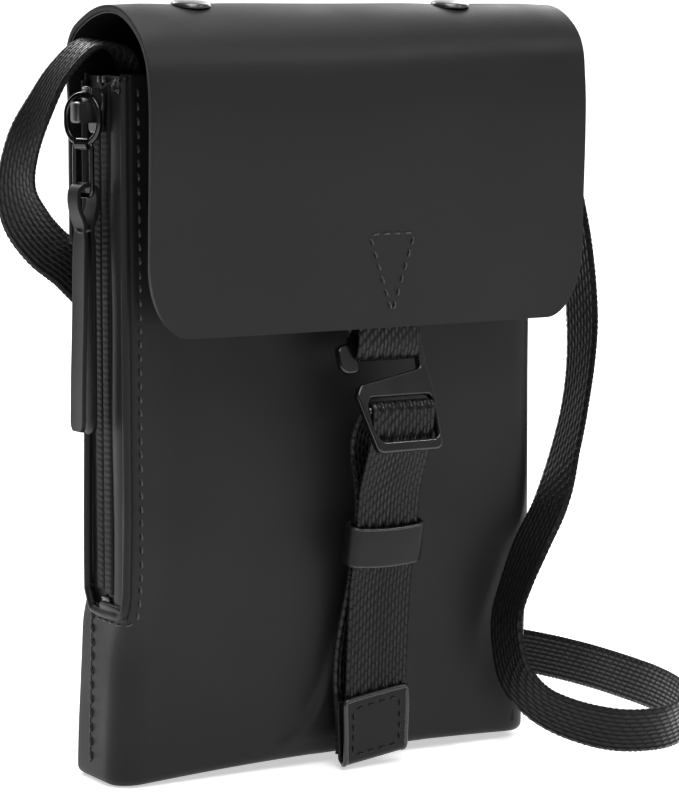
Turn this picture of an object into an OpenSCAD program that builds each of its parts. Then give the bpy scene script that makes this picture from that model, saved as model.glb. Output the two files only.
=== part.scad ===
// Slim flap-over sling bag with a side zip, a G-hook closure strap and a shoulder strap.
// Origin: middle of the pouch's base, +Z up, the flap's face looks along -Y. Millimetres.

/* [Pouch] */
// Width of the pouch
pouch_w = 137; // [110:1:170]
// Height of the pouch's walls
wall_top = 197; // [190:1:205]
// Front face of the pouch, as a distance in front of the origin
pouch_front = 16; // [14:0.5:17]
// Back face of the pouch, as a distance behind the origin
pouch_back = 11; // [10:0.5:11]
// Radius of the pouch's upright corners
corner_r = 6; // [4:0.5:8]
// Thickness of the pouch's coated leather
leather_t = 1.6; // [1.2:0.1:2]

/* [Flap] */
// Width of the flap
flap_w = 140; // [120:1:160]
// Height of the flap's lower edge
flap_edge_z = 127; // [125:1:132]
// Radius of the flap's lower corners
flap_corner_r = 17; // [8:1:25]
// Top of the round roll that the flap makes over the mouth
roll_top = 216; // [214:1:220]
// Thickness of the flap's leather
flap_t = 1.3; // [1:0.1:1.4]
// Sideways place of the two top rivets from the flap's middle
rivet_x = 42; // [30:1:55]

/* [Closure] */
// Sideways place of the closure strap
closure_x = 9; // [0:0.5:12]
// Width of the closure webbing
web_w = 20; // [18:0.5:20]
// Thickness of the closure webbing
web_t = 1.4; // [1:0.1:1.4]
// Backward lean of the hook's plate, in degrees
hook_lean = 18; // [12:1:20]
// Height of the keeper loop
keeper_h = 11; // [8:1:14]

/* [Zip] */
// Spacing of the zip's coils
coil_pitch = 2.2; // [2:0.1:3]
// Length of the leather zip pull
pull_len = 65; // [40:1:80]

/* [Shoulder strap] */
// Width of the shoulder strap
strap_w = 14; // [12:0.5:15]
// Thickness of the shoulder strap
strap_t = 1.6; // [1.2:0.1:1.8]

/* [Hidden] */
$fn = 48;

// Zip window in the left side
left_x = -pouch_w / 2;
seam_y = 6.5;
window_z = 45;
bead = 2.4;
binding_out = 1.1;
zip_y = -3.5;
tape_x = left_x + 3.2;
tape_t = 0.6;
coil_t = 1.8;
coil_w = 2.4;
blade_gap = 1.2;
stop_low_z = window_z + 6;
stop_high_z = wall_top - 2.4;
facing_t = 1.1;
facing_w = 7.7;

// Layers inside the walls
layer_gap = 0.05;
board_t = 0.8;
lining_t = 0.5;
lining_left = left_x + 8.6;
binding_h = 3;

// Flap profile: a superellipse roll between the back face and the front face
roll_back = pouch_back + 3;
roll_front = -37;
roll_y = (roll_back + roll_front) / 2;
roll_a = (roll_back - roll_front) / 2;
roll_z = 190;
roll_back_z = 194;
roll_power = 2.4;
flap_lining_t = 0.5;
flap_x = 1;
hinge_y = pouch_back + 2.3;
hinge_z = 188;
hinge_gap = 0.3;
yoke_z = 148;
rivet_y = -18;
rivet_z = 215.6;
rivet_lean = 8.7;
rivet_r = 5.5;

// Closure strap: the hook's middle bar, the keeper and the straight stretch of both strands
bar_y = -36;
bar_z = 104;
bar_r = 1.2;
loop_x = closure_x - 2.7;
wrap_r = bar_r + 0.08 + web_t / 2;
strand_slope = 0.2;
keeper_z = 65;
tail_y = -27.5;
strand_step = 1.9;
plate_t = 2.6;

// Zip puller: all its pieces hang below each other from the slider's crown
slider_z = 187;
crown_x = -73.2;
chain_yaw = 25;
ring_r = 5.6;
ring_wire = 0.9;
ring_top_z = 191.4;
ring_h = 13.2;
barrel_r = 1.6;
link_r = 2.9;
link_wire = 0.75;
link_gap = 0.08;
link_h = 14;
pull_w = 7.6;
pull_leaf = 1.5;
eye_w = 3.9;
eye_r = 2.9;
link_top_z = ring_top_z - ring_h;
link_bottom_z = link_top_z - link_h;

// Shoulder strap: centre points with the direction of the strap's width at each
strap_route = [
  [[-58, -4, 190], [0, 1, 0]], [[-58.2, -4, 198], [0, 1, 0]], [[-62.5, -5, 204], [0, 1, 0]],
  [[-71, -5, 205], [0, 1, 0.1]], [[-78, -2, 198], [0, 1, 0.1]], [[-82, 3, 188], [-0.1, 1, 0]],
  [[-84, 10, 177], [-0.2, 1, 0]], [[-83, 16, 166], [-0.2, 0.9, -0.3]],
  [[-78, 21, 156], [-0.3, 0.7, -0.6]], [[-70, 25, 148], [-0.2, 0.5, -0.8]],
  [[-60, 28, 141], [-0.3, 0.3, -0.9]], [[-46, 31, 127], [-0.6, 0.1, -0.8]],
  [[-33, 34, 108], [-0.8, 0, -0.6]], [[-21, 37, 86], [-0.8, 0, -0.5]],
  [[-9, 40, 62], [-0.8, 0, -0.5]], [[4, 43, 40], [-0.8, 0, -0.6]],
  [[19, 45, 21], [-0.5, 0, -0.8]], [[37, 46, 11], [-0.2, 0, -1]],
  [[56, 47, 8], [0, 0, -1]], [[70, 54, 7.5], [0, 0, -1]], [[70, 70, 7.5], [0, 0, -1]],
  [[56, 77, 7.5], [0, 0, -1]], [[36, 76, 7.5], [0, 0, -1]], [[14, 75, 7.5], [0, 0, -1]],
  [[-6, 77, 7.5], [0, 0, -1]], [[-18, 88, 8], [0, 0, -1]], [[-13, 101, 9], [0, 0, -1]],
  [[3, 105, 10], [0, 0, -1]], [[20, 105, 10], [0, 0, -1]], [[37, 105, 10], [0, 0, -1]],
  [[54, 105, 10], [0, 0, -1]], [[71, 105, 10], [0, 0, -1]], [[88, 101, 9], [0, 0, -1]],
  [[102, 91, 8], [0, 0, -1]], [[112, 76, 7.5], [0, 0, -1]], [[118, 57, 7.5], [0, 0, -1]],
  [[121, 36, 7.5], [0, 0, -1]], [[121, 14, 7.5], [0, 0, -1]], [[119, -8, 7.5], [0, 0, -1]],
  [[113, -28, 7.5], [0, 0, -1]], [[102, -43, 7.5], [0, 0.1, -1]],
  [[88, -51, 7.5], [0, 0.3, -1]], [[75, -49, 8], [0, 0.4, -1]],
  [[66, -41, 10], [0, 0.5, -0.9]], [[59, -33, 14], [0, 0.6, -0.8]],
  [[54, -28, 21], [-0.1, 0.7, -0.6]], [[52, -26, 30], [-0.1, 0.8, -0.4]],
  [[52, -25, 40], [-0.1, 0.9, -0.2]], [[55.5, -25, 50], [-0.1, 0.9, 0]],
  [[60.6, -24.7, 60], [-0.2, 0.9, 0.1]], [[69, -21.8, 71], [-0.2, 0.9, 0.2]],
  [[77.2, -16, 83], [-0.2, 1, 0.2]], [[84, -11.5, 96], [-0.2, 1, 0.1]],
  [[88, -9, 110], [-0.2, 1, 0]], [[89, -8, 125], [-0.2, 1, 0]], [[87, -8, 144], [-0.1, 1, 0]],
  [[83, -8, 162], [-0.1, 1, 0]], [[79, -7, 178], [-0.1, 1, 0]], [[75, -6, 192], [0, 1, 0]],
  [[70, -5, 202], [0, 1, 0]], [[64.4, -4, 201], [0, 1, 0]], [[63.9, -4, 190], [0, 1, 0]]];
strap_z = 10;
adjuster_x = 37;
adjuster_y = 105;

// ---- Paths ----
function unit(v) = v / norm(v);
function clamped(list, i) = list[max(0, min(len(list) - 1, i))];
// Point a share t of the way from b to c on the smooth curve through a, b, c and d
function curve(a, b, c, d, t) =
  (2 * b + (c - a) * t + (2 * a - 5 * b + 4 * c - d) * t * t
    + (3 * b - a - 3 * c + d) * t * t * t) / 2;
function smooth(list, steps) = [
  for (i = [0 : len(list) - 2], k = [0 : steps - 1])
    curve(clamped(list, i - 1), list[i], list[i + 1], clamped(list, i + 2), k / steps),
  list[len(list) - 1]];
function along(list, i) = unit(clamped(list, i + 1) - clamped(list, i - 1));
function side(list, i, out) = list[i] + out * [along(list, i)[1], -along(list, i)[0]];
// Outline of a sheet of even thickness that lies between two offsets of a path
function band(list, inner, outer) = concat(
  [for (i = [0 : len(list) - 1]) side(list, i, outer)],
  [for (i = [len(list) - 1 : -1 : 0]) side(list, i, inner)]);

function signed_power(v, p) = (v < 0 ? -1 : 1) * pow(abs(v), p);
// Outer face of the flap, from the hinge over the roll to the lower edge, as [y, z]
flap_path = concat(
  [[pouch_back + 2, hinge_z + hinge_gap]],
  [for (a = [0 : 7.5 : 180])
    let (low = a < 90 ? roll_back_z : roll_z)
    [roll_y + roll_a * signed_power(cos(a), 2 / roll_power),
     low + (roll_top - low) * signed_power(sin(a), 2 / roll_power)]],
  [[roll_front, 150], [roll_front, flap_edge_z]]);

function tail_at(z) = tail_y - strand_slope * (z - keeper_z);
function rear_at(z) = tail_at(z) + strand_step;
// Centre line of the closure webbing: up from the base seam, over the bar and down again
webbing_path = concat(
  smooth([[-16.8, 4], [-16.9, 20], [-18.6, 36], [rear_at(52), 52], [rear_at(61), 61],
    [rear_at(70), 70], [-25.8, 80], [-24.4, 88], [-25.6, 96], [-30, 102.6]], 4),
  [for (a = [75 : 15 : 225]) [bar_y + wrap_r * cos(a), bar_z + wrap_r * sin(a)]],
  smooth([[-35.4, 100], [-34.4, 97], [-33.2, 91], [tail_at(80), 80], [tail_at(70), 70],
    [tail_at(60), 60], [tail_at(52), 52], [-23.8, 40], [-22.8, 26], [-22.4, 14], [-22.4, 5]], 4));
loop_path = smooth([[-34.4, 152], [-34.4, 136], [-34.5, 125], [-34.1, 121], [-32.8, 118.6],
  [-30.7, 117.9], [-28.4, 118.8], [-27.4, 121.5], [-27.9, 125], [-29.8, 130], [-32.2, 135.5],
  [-32.95, 141], [-32.95, 152]], 3);

// ---- Shared shapes ----
// Upright profile of [y, z] points, drawn out along X about a middle
module across(width, middle = 0)
  translate([middle - width / 2, 0, 0]) rotate([90, 0, 90]) linear_extrude(width) children();

module rounded(low, high, r) {
  translate([low[0] + r, low[1]]) square([high[0] - low[0] - 2 * r, high[1] - low[1]]);
  translate([low[0], low[1] + r]) square([high[0] - low[0], high[1] - low[1] - 2 * r]);
  for (x = [low[0] + r, high[0] - r], y = [low[1] + r, high[1] - r])
    translate([x, y]) circle(r);
}

// Plan of the pouch, drawn in by a distance
module plan(inset)
  rounded([left_x + inset, -pouch_front + inset], [-left_x - inset, pouch_back - inset],
    corner_r - inset);

module walls()
  translate([0, 0, leather_t]) linear_extrude(wall_top - leather_t) difference() {
    plan(0);
    plan(leather_t);
  }

// Everything in front of the side seams
module front_half()
  translate([-pouch_w, -pouch_w, -1]) cube([2 * pouch_w, pouch_w + seam_y, 2 * wall_top]);

module window_space()
  translate([left_x - 5, -pouch_front - 1, window_z])
    cube([6.8, pouch_front + seam_y + 1, wall_top]);

// Wire bent into a closed loop in the YZ plane, from its top wire's centre down
module wire_loop(half_w, corner, wire, height) {
  for (k = [0 : 3])
    translate([0, (k % 3 == 0 ? 1 : -1) * (half_w - corner), k < 2 ? -corner : corner - height])
      rotate([90, 0, 90]) rotate([0, 0, 90 * k]) rotate_extrude(angle = 90)
        translate([corner, 0]) circle(wire, $fn = 20);
  for (y = [-half_w, half_w])
    translate([0, y, corner - height]) cylinder(r = wire, h = height - 2 * corner, $fn = 20);
  if (half_w > corner) for (z = [0, -height])
    translate([0, half_w - corner, z]) rotate([90, 0, 0])
      cylinder(r = wire, h = 2 * (half_w - corner), $fn = 20);
}

// Puts a piece of the zip puller's chain at a height, turned as the chain hangs
module on_chain(z)
  translate([crown_x, zip_y, z]) rotate([0, 0, chain_yaw]) children();

// ---- Pouch ----
module front_panel() color([0.075, 0.075, 0.078])
  difference() {
    intersection() { walls(); front_half(); }
    window_space();
  }

module back_panel() color([0.07, 0.07, 0.073])
  difference() {
    walls();
    translate([0, layer_gap, 0]) front_half();
  }

module base_panel() color([0.07, 0.07, 0.073])
  linear_extrude(leather_t - layer_gap) plan(0);

module lining() color([0.12, 0.12, 0.125])
  difference() {
    translate([0, 0, leather_t + 1]) linear_extrude(wall_top - leather_t - 1.2)
      rounded([lining_left, -pouch_front + leather_t + board_t + 2 * layer_gap],
        [-left_x - leather_t - 1, pouch_back - leather_t - board_t - 2 * layer_gap], 4);
    translate([0, 0, leather_t + 1 + lining_t]) linear_extrude(wall_top)
      rounded([lining_left + lining_t,
        -pouch_front + leather_t + board_t + 2 * layer_gap + lining_t],
        [-left_x - leather_t - 1 - lining_t,
        pouch_back - leather_t - board_t - 2 * layer_gap - lining_t], 3.5);
  }

module stiffener(y)
  translate([-pouch_w / 2 + corner_r + 2, y, leather_t + 0.4])
    cube([pouch_w - 2 * corner_r - 4, board_t, wall_top - leather_t - 1]);

module front_stiffener() color([0.3, 0.28, 0.24])
  stiffener(-pouch_front + leather_t + layer_gap);

module back_stiffener() color([0.3, 0.28, 0.24])
  stiffener(pouch_back - leather_t - layer_gap - board_t);

// Rolled edge around the open mouth
module mouth_binding() color([0.09, 0.09, 0.092])
  translate([0, 0, wall_top + layer_gap]) linear_extrude(binding_h) difference() {
    plan(-0.1);
    plan(2.6);
  }

// ---- Zip in the left side ----
// Rolled edge around the window, open at the top
module window_binding() color([0.09, 0.09, 0.092])
  across(binding_out + 1.7, left_x + (1.7 - binding_out) / 2) intersection() {
    difference() {
      rounded([-pouch_front, window_z + 0.1], [seam_y - 0.1, wall_top + 20], 6);
      rounded([-pouch_front + bead, window_z + bead], [seam_y - bead, wall_top + 20], 4);
    }
    translate([-pouch_front - 1, window_z]) square([40, wall_top - window_z]);
  }

// Space inside the walls, with a running gap
module inside() linear_extrude(wall_top) plan(leather_t + layer_gap);

module tape(y0, y1) color([0.03, 0.03, 0.032]) intersection() {
  translate([tape_x, y0, window_z + 1]) cube([tape_t, y1 - y0, wall_top - window_z - 1.5]);
  inside();
}

module zip_tape_front()
  tape(-pouch_front, zip_y - blade_gap / 2 - 0.1);

module zip_tape_back()
  tape(zip_y + blade_gap / 2 + 0.1, seam_y - 0.4);

// Leather strip that covers the front tape beside the coils
module zip_facing() color([0.075, 0.075, 0.078]) intersection() {
  translate([tape_x - layer_gap - facing_t, -pouch_front, window_z + bead + 0.2])
    cube([facing_t, facing_w, wall_top - window_z - bead - 0.4]);
  inside();
}

// One row of coils on the outer face of a tape, facing dir from the zip's middle
module coils(dir, shift) color([0.05, 0.05, 0.052])
  for (z = [stop_low_z + 3 + shift : coil_pitch : stop_high_z - 2])
    translate([tape_x - layer_gap - coil_t,
      zip_y + (dir > 0 ? blade_gap / 2 : -blade_gap / 2 - coil_w), z])
      cube([coil_t, coil_w, coil_pitch * 0.55]);

module coil_front() coils(-1, 0);
module coil_back() coils(1, coil_pitch / 2);

module zip_top_stops() color([0.16, 0.16, 0.17])
  for (y = [zip_y - 2.2, zip_y + 0.8])
    translate([tape_x - 1.6, y, stop_high_z]) cube([1.5, 1.4, 1.8]);

module zip_bottom_stop() color([0.16, 0.16, 0.17])
  translate([tape_x - 1.6, zip_y - 2.4, stop_low_z - 1]) cube([1.5, 4.8, 3]);

// Outer and inner plates joined by a blade that runs between the coil rows, and the crown
module slider_body() color([0.2, 0.2, 0.21]) {
  translate([0, zip_y, slider_z]) {
    for (x = [tape_x - coil_t - 1.7, tape_x + tape_t + 0.3]) hull() {
      translate([x, -3.6, -6]) cube([1.2, 7.2, 1]);
      translate([x, -4.6, 1]) cube([1.2, 9.2, 4.4]);
    }
    translate([tape_x - coil_t - 0.8, -0.4, -3]) cube([coil_t + tape_t + 1.3, 0.8, 6.5]);
  }
  difference() {
    translate([crown_x - 2.4, zip_y - 2.5, slider_z - 3.4])
      cube([tape_x - coil_t + 1 - crown_x, 5, 9.8]);
    on_chain(ring_top_z) {
      for (z = [0, -1.8]) translate([0, 0, z]) rotate([90, 0, 0])
        cylinder(r = 1.5, h = 20, center = true);
      translate([-1.5, -10, -1.8]) cube([3, 20, 1.8]);
    }
  }
}

// Ring hung in the crown, with a cross barrel at its foot for the link's top wire
module bail_ring() color([0.12, 0.12, 0.13])
  difference() {
    union() {
      on_chain(ring_top_z) wire_loop(ring_r, ring_r, ring_wire, ring_h);
      on_chain(link_top_z) rotate([90, 0, 0])
        cylinder(r = barrel_r, h = 2 * (link_r - link_wire) - 0.3, center = true);
    }
    on_chain(link_top_z) rotate([90, 0, 0])
      cylinder(r = link_wire + link_gap, h = 20, center = true);
  }

module wire_link() color([0.14, 0.14, 0.15])
  on_chain(link_top_z) wire_loop(link_r, 1.2, link_wire, link_h);

// Leather strip folded over the link's lower wire, its two leaves sewn below the eye
module leather_pull() color([0.065, 0.065, 0.068])
  on_chain(link_bottom_z) difference() {
    union() {
      rotate([90, 0, 0]) cylinder(r = eye_r, h = eye_w, center = true);
      translate([-pull_leaf - 0.25, -eye_w / 2, -8]) cube([2 * pull_leaf + 0.5, eye_w, 7]);
      for (leaf = [-1, 1])
        translate([leaf * (pull_leaf / 2 + 0.25) - pull_leaf / 2, 0, -pull_len]) {
          translate([0, -pull_w / 2, pull_w / 2])
            cube([pull_leaf, pull_w, pull_len - pull_w / 2 - 3.5]);
          translate([0, 0, pull_w / 2]) rotate([0, 90, 0])
            cylinder(r = pull_w / 2, h = pull_leaf);
        }
      translate([-0.5, -pull_w / 2 + 1.5, 12 - pull_len]) cube([1, pull_w - 3, pull_len - 18]);
    }
    rotate([90, 0, 0]) cylinder(r = link_wire + 0.3, h = 20, center = true);
  }

// ---- Flap ----
module flap_outline()
  rotate([90, 0, 0]) translate([0, 0, -80]) linear_extrude(160)
    rounded([flap_x - flap_w / 2, flap_edge_z], [flap_x + flap_w / 2, roll_top + 40],
      flap_corner_r);

// A layer of the flap between two depths below its outer face
module flap_layer(outer, inner)
  intersection() {
    across(flap_w, flap_x) polygon(band(flap_path, -inner, -outer));
    flap_outline();
  }

// Puts a shape at both rivets, square to the flap there
module at_rivets()
  for (x = [-rivet_x, rivet_x])
    translate([flap_x + x, rivet_y, rivet_z]) rotate([rivet_lean, 0, 0]) children();

module rivet_holes(r)
  at_rivets() translate([0, 0, -10]) cylinder(r = r, h = 20);

module flap_panel() color([0.085, 0.085, 0.088])
  difference() {
    flap_layer(0, flap_t);
    rivet_holes(1.6);
  }

module flap_lining() color([0.035, 0.035, 0.037])
  difference() {
    flap_layer(flap_t + layer_gap, flap_t + layer_gap + flap_lining_t);
    rivet_holes(1.6);
  }

// Lower part of the same sheet, sewn to the back panel
module flap_yoke() color([0.085, 0.085, 0.088])
  translate([flap_x - flap_w / 2 + 2, pouch_back + layer_gap, yoke_z])
    cube([flap_w - 4, flap_t + flap_lining_t, hinge_z - hinge_gap - yoke_z]);

module flap_rivets() color([0.2, 0.2, 0.21])
  at_rivets() {
    translate([0, 0, layer_gap]) cylinder(r = rivet_r, h = 0.8);
    translate([0, 0, 0.8]) cylinder(r1 = rivet_r - 0.2, r2 = rivet_r - 2, h = 0.6);
    translate([0, 0, -3.8]) cylinder(r = 1.5, h = 4.1);
  }

module rivet_washers() color([0.2, 0.2, 0.21])
  at_rivets() translate([0, 0, -3.6]) difference() {
    cylinder(r = 4.5, h = 0.8);
    translate([0, 0, -1]) cylinder(r = 1.55, h = 3);
  }

module flap_patch() color([0.05, 0.05, 0.052])
  translate([loop_x - 13, -32.2, 140]) cube([26, 0.9, 15]);

module loop_webbing() color([0.045, 0.045, 0.047])
  across(web_w, loop_x) polygon(band(loop_path, -0.55, 0.55));

// ---- Closure ----
// Outline of the hook in its own plane, about the middle bar's centre
module hook_outline() {
  difference() {
    union() {
      polygon([[-15, 7.6], [-13.8, 10.2], [7.6, 13.8], [7.6, 17], [8.1, 20.4], [10.1, 18.4],
        [10.1, 13], [12.6, 8], [12.6, -10.2], [10.8, -12], [-8.4, -12], [-10.2, -10.6],
        [-12.1, -5.6]]);
      translate([-17.4, 15.8]) square([26.4, 4.6]);
      translate([-13.4, 8.6]) circle(1.9);
      translate([8.1, 18.4]) circle(2);
      translate([-8.5, -10.2]) circle(1.8);
      translate([10.8, -10.2]) circle(1.8);
    }
    polygon([[-10.7, 7], [10.5, 7], [10.5, -8.6], [-8.4, -8.6], [-10.5, -5.6]]);
  }
  translate([-17.4, 18.1]) circle(4);
}

module g_hook() color([0.06, 0.06, 0.065])
  translate([closure_x, bar_y, bar_z]) rotate([-hook_lean, 0, 0]) {
    rotate([90, 0, 0]) linear_extrude(plate_t, center = true) hook_outline();
    rotate([0, 90, 0]) cylinder(r = bar_r, h = 22.4, center = true);
  }

module closure_webbing() color([0.045, 0.045, 0.047])
  across(web_w, closure_x) polygon(band(webbing_path, -web_t / 2, web_t / 2));

module keeper() color([0.09, 0.09, 0.092])
  translate([closure_x, tail_y + strand_step / 2, keeper_z])
    rotate([atan(strand_slope), 0, 0]) translate([0, 0, -keeper_h / 2])
      linear_extrude(keeper_h) difference() {
        rounded([-web_w / 2 - 2.1, -3.3], [web_w / 2 + 2.1, 3.3], 2);
        rounded([-web_w / 2 - 0.6, -2], [web_w / 2 + 0.6, 2], 0.9);
      }

// Leather folded round the webbing's end
module end_tab() color([0.065, 0.065, 0.068])
  translate([closure_x - web_w / 2 - 0.6, -24.6, 1]) difference() {
    cube([web_w + 1.2, 4.4, 19]);
    translate([-1, 1.2, 3]) cube([web_w + 4, 2, 20]);
  }

// ---- Shoulder strap ----
// Leather tongue inside the lining that the end of the strap is sewn into
module strap_anchor(x) color([0.06, 0.06, 0.063])
  translate([x - 1, -11, 172]) cube([2, 15, 17.85]);

module strap_anchor_left() strap_anchor(-58);
module strap_anchor_right() strap_anchor(63.95);

// Flat strap swept along its route; the width turns with the directions in the list
strap_line = smooth([for (p = strap_route) p[0]], 1);
strap_turn = [for (p = strap_route) unit(p[1])];
function across_strap(i) =
  let (t = along(strap_line, i), w = strap_turn[i]) unit(w - (w * t) * t);
function strap_ring(i) =
  let (w = across_strap(i) * strap_w / 2,
    n = unit(cross(along(strap_line, i), w)) * strap_t / 2)
  [for (s = [[-1, -1], [0, -1], [1, -1], [1, 0], [1, 1], [0, 1], [-1, 1], [-1, 0]])
    strap_line[i] + s[0] * w + s[1] * n];

module shoulder_strap() color([0.05, 0.05, 0.052]) {
  rings = len(strap_line);
  polyhedron(
    points = [for (i = [0 : rings - 1]) each strap_ring(i)],
    faces = concat(
      [for (k = [2 : 7]) [1, (k + 1) % 8, k]],
      [for (i = [0 : rings - 2], k = [0 : 7]) each
        let (a = i * 8 + k, b = i * 8 + (k + 1) % 8) [[a, b, b + 8], [a, b + 8, a + 8]]],
      [for (k = [2 : 7]) (rings - 1) * 8 * [1, 1, 1] + [1, k, (k + 1) % 8]]));
}

// Ladder slider standing on edge: two end bars behind the strap, the middle bar in front
module strap_adjuster() color([0.07, 0.07, 0.075])
  translate([adjuster_x, adjuster_y, strap_z]) {
    for (z = [-strap_w / 2 - 2.6, strap_w / 2 + 0.5])
      translate([-11, -3.2, z]) cube([22, 6.4, 2.1]);
    for (p = [[-9.4, 2.1], [0, -2.1], [9.4, 2.1]])
      translate([p[0], p[1], -strap_w / 2 - 1]) cylinder(r = 1.1, h = strap_w + 2);
  }

front_panel();
back_panel();
base_panel();
lining();
front_stiffener();
back_stiffener();
mouth_binding();
window_binding();
zip_tape_front();
zip_tape_back();
zip_facing();
coil_front();
coil_back();
zip_top_stops();
zip_bottom_stop();
slider_body();
bail_ring();
wire_link();
leather_pull();
flap_yoke();
flap_panel();
flap_lining();
flap_rivets();
rivet_washers();
flap_patch();
loop_webbing();
g_hook();
closure_webbing();
keeper();
end_tab();
strap_anchor_left();
strap_anchor_right();
shoulder_strap();
strap_adjuster();
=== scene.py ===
"""Looks of a slim flap-over sling bag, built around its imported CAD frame.

Sizes are millimetres in the row frame, and MM turns them into metres.
"""

import math

import bpy
import numpy as np
from mathutils import Matrix, Vector
from mathutils.bvhtree import BVHTree


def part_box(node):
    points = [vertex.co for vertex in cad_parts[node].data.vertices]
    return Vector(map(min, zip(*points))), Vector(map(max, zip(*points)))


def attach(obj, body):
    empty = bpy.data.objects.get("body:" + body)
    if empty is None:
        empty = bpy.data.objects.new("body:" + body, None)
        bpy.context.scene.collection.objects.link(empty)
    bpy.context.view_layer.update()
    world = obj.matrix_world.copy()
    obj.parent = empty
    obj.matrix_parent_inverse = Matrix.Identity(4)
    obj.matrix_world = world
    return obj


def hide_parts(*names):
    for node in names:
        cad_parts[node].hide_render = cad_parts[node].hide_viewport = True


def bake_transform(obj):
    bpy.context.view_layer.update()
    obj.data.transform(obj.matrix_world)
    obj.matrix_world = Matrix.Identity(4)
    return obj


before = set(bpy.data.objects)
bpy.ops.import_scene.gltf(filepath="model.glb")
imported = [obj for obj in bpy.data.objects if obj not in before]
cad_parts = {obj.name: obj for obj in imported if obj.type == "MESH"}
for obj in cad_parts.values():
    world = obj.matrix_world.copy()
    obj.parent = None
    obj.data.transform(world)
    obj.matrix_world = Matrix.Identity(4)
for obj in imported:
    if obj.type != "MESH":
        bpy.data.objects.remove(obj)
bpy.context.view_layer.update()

MM = 0.001


def cad(node):
    """Lowest and highest corner of a CAD node, in millimetres."""
    low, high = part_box(node)
    return np.array(low) / MM, np.array(high) / MM


# ---------------------------------------------------------------- driving sizes
FLAP_LOW, FLAP_HIGH = cad("flap_panel")
WEB_LOW, WEB_HIGH = cad("closure_webbing")
RIM_Z = cad("front_panel")[1][2]
POUCH_BACK = cad("back_panel")[1][1]
CLOSURE_X = (WEB_LOW[0] + WEB_HIGH[0]) / 2
WEB_W = WEB_HIGH[0] - WEB_LOW[0]
LOOP_X = sum(cad("loop_webbing")[i][0] for i in (0, 1)) / 2
FLAP_X = (FLAP_LOW[0] + FLAP_HIGH[0]) / 2
FLAP_HALF = (FLAP_HIGH[0] - FLAP_LOW[0]) / 2
FLAP_EDGE_Z = FLAP_LOW[2]
BAR = np.array([CLOSURE_X, -36.0, 104.0])
HOOK_LEAN = math.radians(18)

# ---------------------------------------------------------------- small maths


def unit(v):
    """Vectors of the same directions with a length of one."""
    v = np.asarray(v, float)
    return v / np.linalg.norm(v, axis=-1, keepdims=True)


def ramp(low, high, v):
    """Smooth rise from 0 at low to 1 at high."""
    t = np.clip((np.asarray(v, float) - low) / (high - low), 0, 1)
    return t * t * (3 - 2 * t)


def smooth_path(points, steps):
    """The Catmull-Rom curve that the CAD uses, through every point."""
    p = np.asarray(points, float)
    last = len(p) - 1
    out = []
    for i in range(last):
        a, b, c, d = p[max(i - 1, 0)], p[i], p[i + 1], p[min(i + 2, last)]
        for k in range(steps):
            t = k / steps
            square = 2 * a - 5 * b + 4 * c - d
            cube = 3 * b - a - 3 * c + d
            out.append((2 * b + (c - a) * t + square * t * t + cube * t**3) / 2)
    out.append(p[-1])
    return np.array(out)


def arc_lengths(points):
    """Distance along a path at each of its points."""
    return np.concatenate([[0], np.cumsum(np.linalg.norm(np.diff(points, axis=0), axis=1))])


def resample(points, spacing, count=None):
    """Points at even distances along a path."""
    s = arc_lengths(points)
    n = count or max(2, int(round(s[-1] / spacing)) + 1)
    at = np.linspace(0, s[-1], n)
    return np.stack([np.interp(at, s, points[:, k]) for k in range(points.shape[1])], axis=1)


def arc(centre, radii, degrees):
    """Points of an ellipse about a centre, at the given angles."""
    turns = [math.radians(a) for a in degrees]
    return [(centre[0] + radii[0] * math.cos(a), centre[1] + radii[1] * math.sin(a)) for a in turns]


# ---------------------------------------------------------------- mesh building


def piece(name, verts, faces, material, uv=None, smooth=True):
    """A mesh object from points in millimetres. uv holds one pair per vertex, in metres."""
    mesh = bpy.data.meshes.new(name)
    mesh.from_pydata([tuple(map(float, v)) for v in np.asarray(verts, float) * MM], [], faces)
    mesh.update()
    if uv is not None:
        layer = mesh.uv_layers.new(name="UVMap")
        index = np.empty(len(mesh.loops), np.int32)
        mesh.loops.foreach_get("vertex_index", index)
        layer.data.foreach_set("uv", np.asarray(uv, np.float32)[index].ravel())
    if smooth:
        mesh.shade_smooth()
    mesh.materials.append(material)
    obj = bpy.data.objects.new(name, mesh)
    bpy.context.scene.collection.objects.link(obj)
    return obj


def grid_faces(rows, cols, close_rows=False, close_cols=False):
    """Four-sided faces between the points of a grid, which may close on itself either way."""
    faces = []
    for i in range(rows if close_rows else rows - 1):
        for j in range(cols if close_cols else cols - 1):
            a, b = i * cols + j, i * cols + (j + 1) % cols
            c, d = ((i + 1) % rows) * cols + (j + 1) % cols, ((i + 1) % rows) * cols + j
            faces.append((a, b, c, d))
    return faces


def tube_faces(rings, around, closed=False):
    """Faces of a tube made of rings, with a cap at each open end."""
    faces = grid_faces(rings, around, close_rows=closed, close_cols=True)
    if not closed:
        faces += [tuple(range(around - 1, -1, -1)), tuple((rings - 1) * around + k for k in range(around))]
    return faces


def tube(name, rings, material, closed=False, uv=None):
    """A piece from rings of points, each joined to the next."""
    rings = np.asarray(rings, float)
    return piece(name, rings.reshape(-1, 3), tube_faces(*rings.shape[:2], closed), material, uv)


def sheet(name, rows, material):
    """A piece from rows of points, joined into a grid."""
    rows = np.asarray(rows, float)
    return piece(name, rows.reshape(-1, 3), grid_faces(*rows.shape[:2]), material)


def finish_mesh(obj, sharp=None):
    """Turns an object's modifiers into mesh."""
    graph = bpy.context.evaluated_depsgraph_get()
    mesh = bpy.data.meshes.new_from_object(obj.evaluated_get(graph))
    old = obj.data
    obj.modifiers.clear()
    obj.data = mesh
    bpy.data.meshes.remove(old)
    if sharp is not None:
        mesh.set_sharp_from_angle(angle=math.radians(sharp))
    return obj


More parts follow.
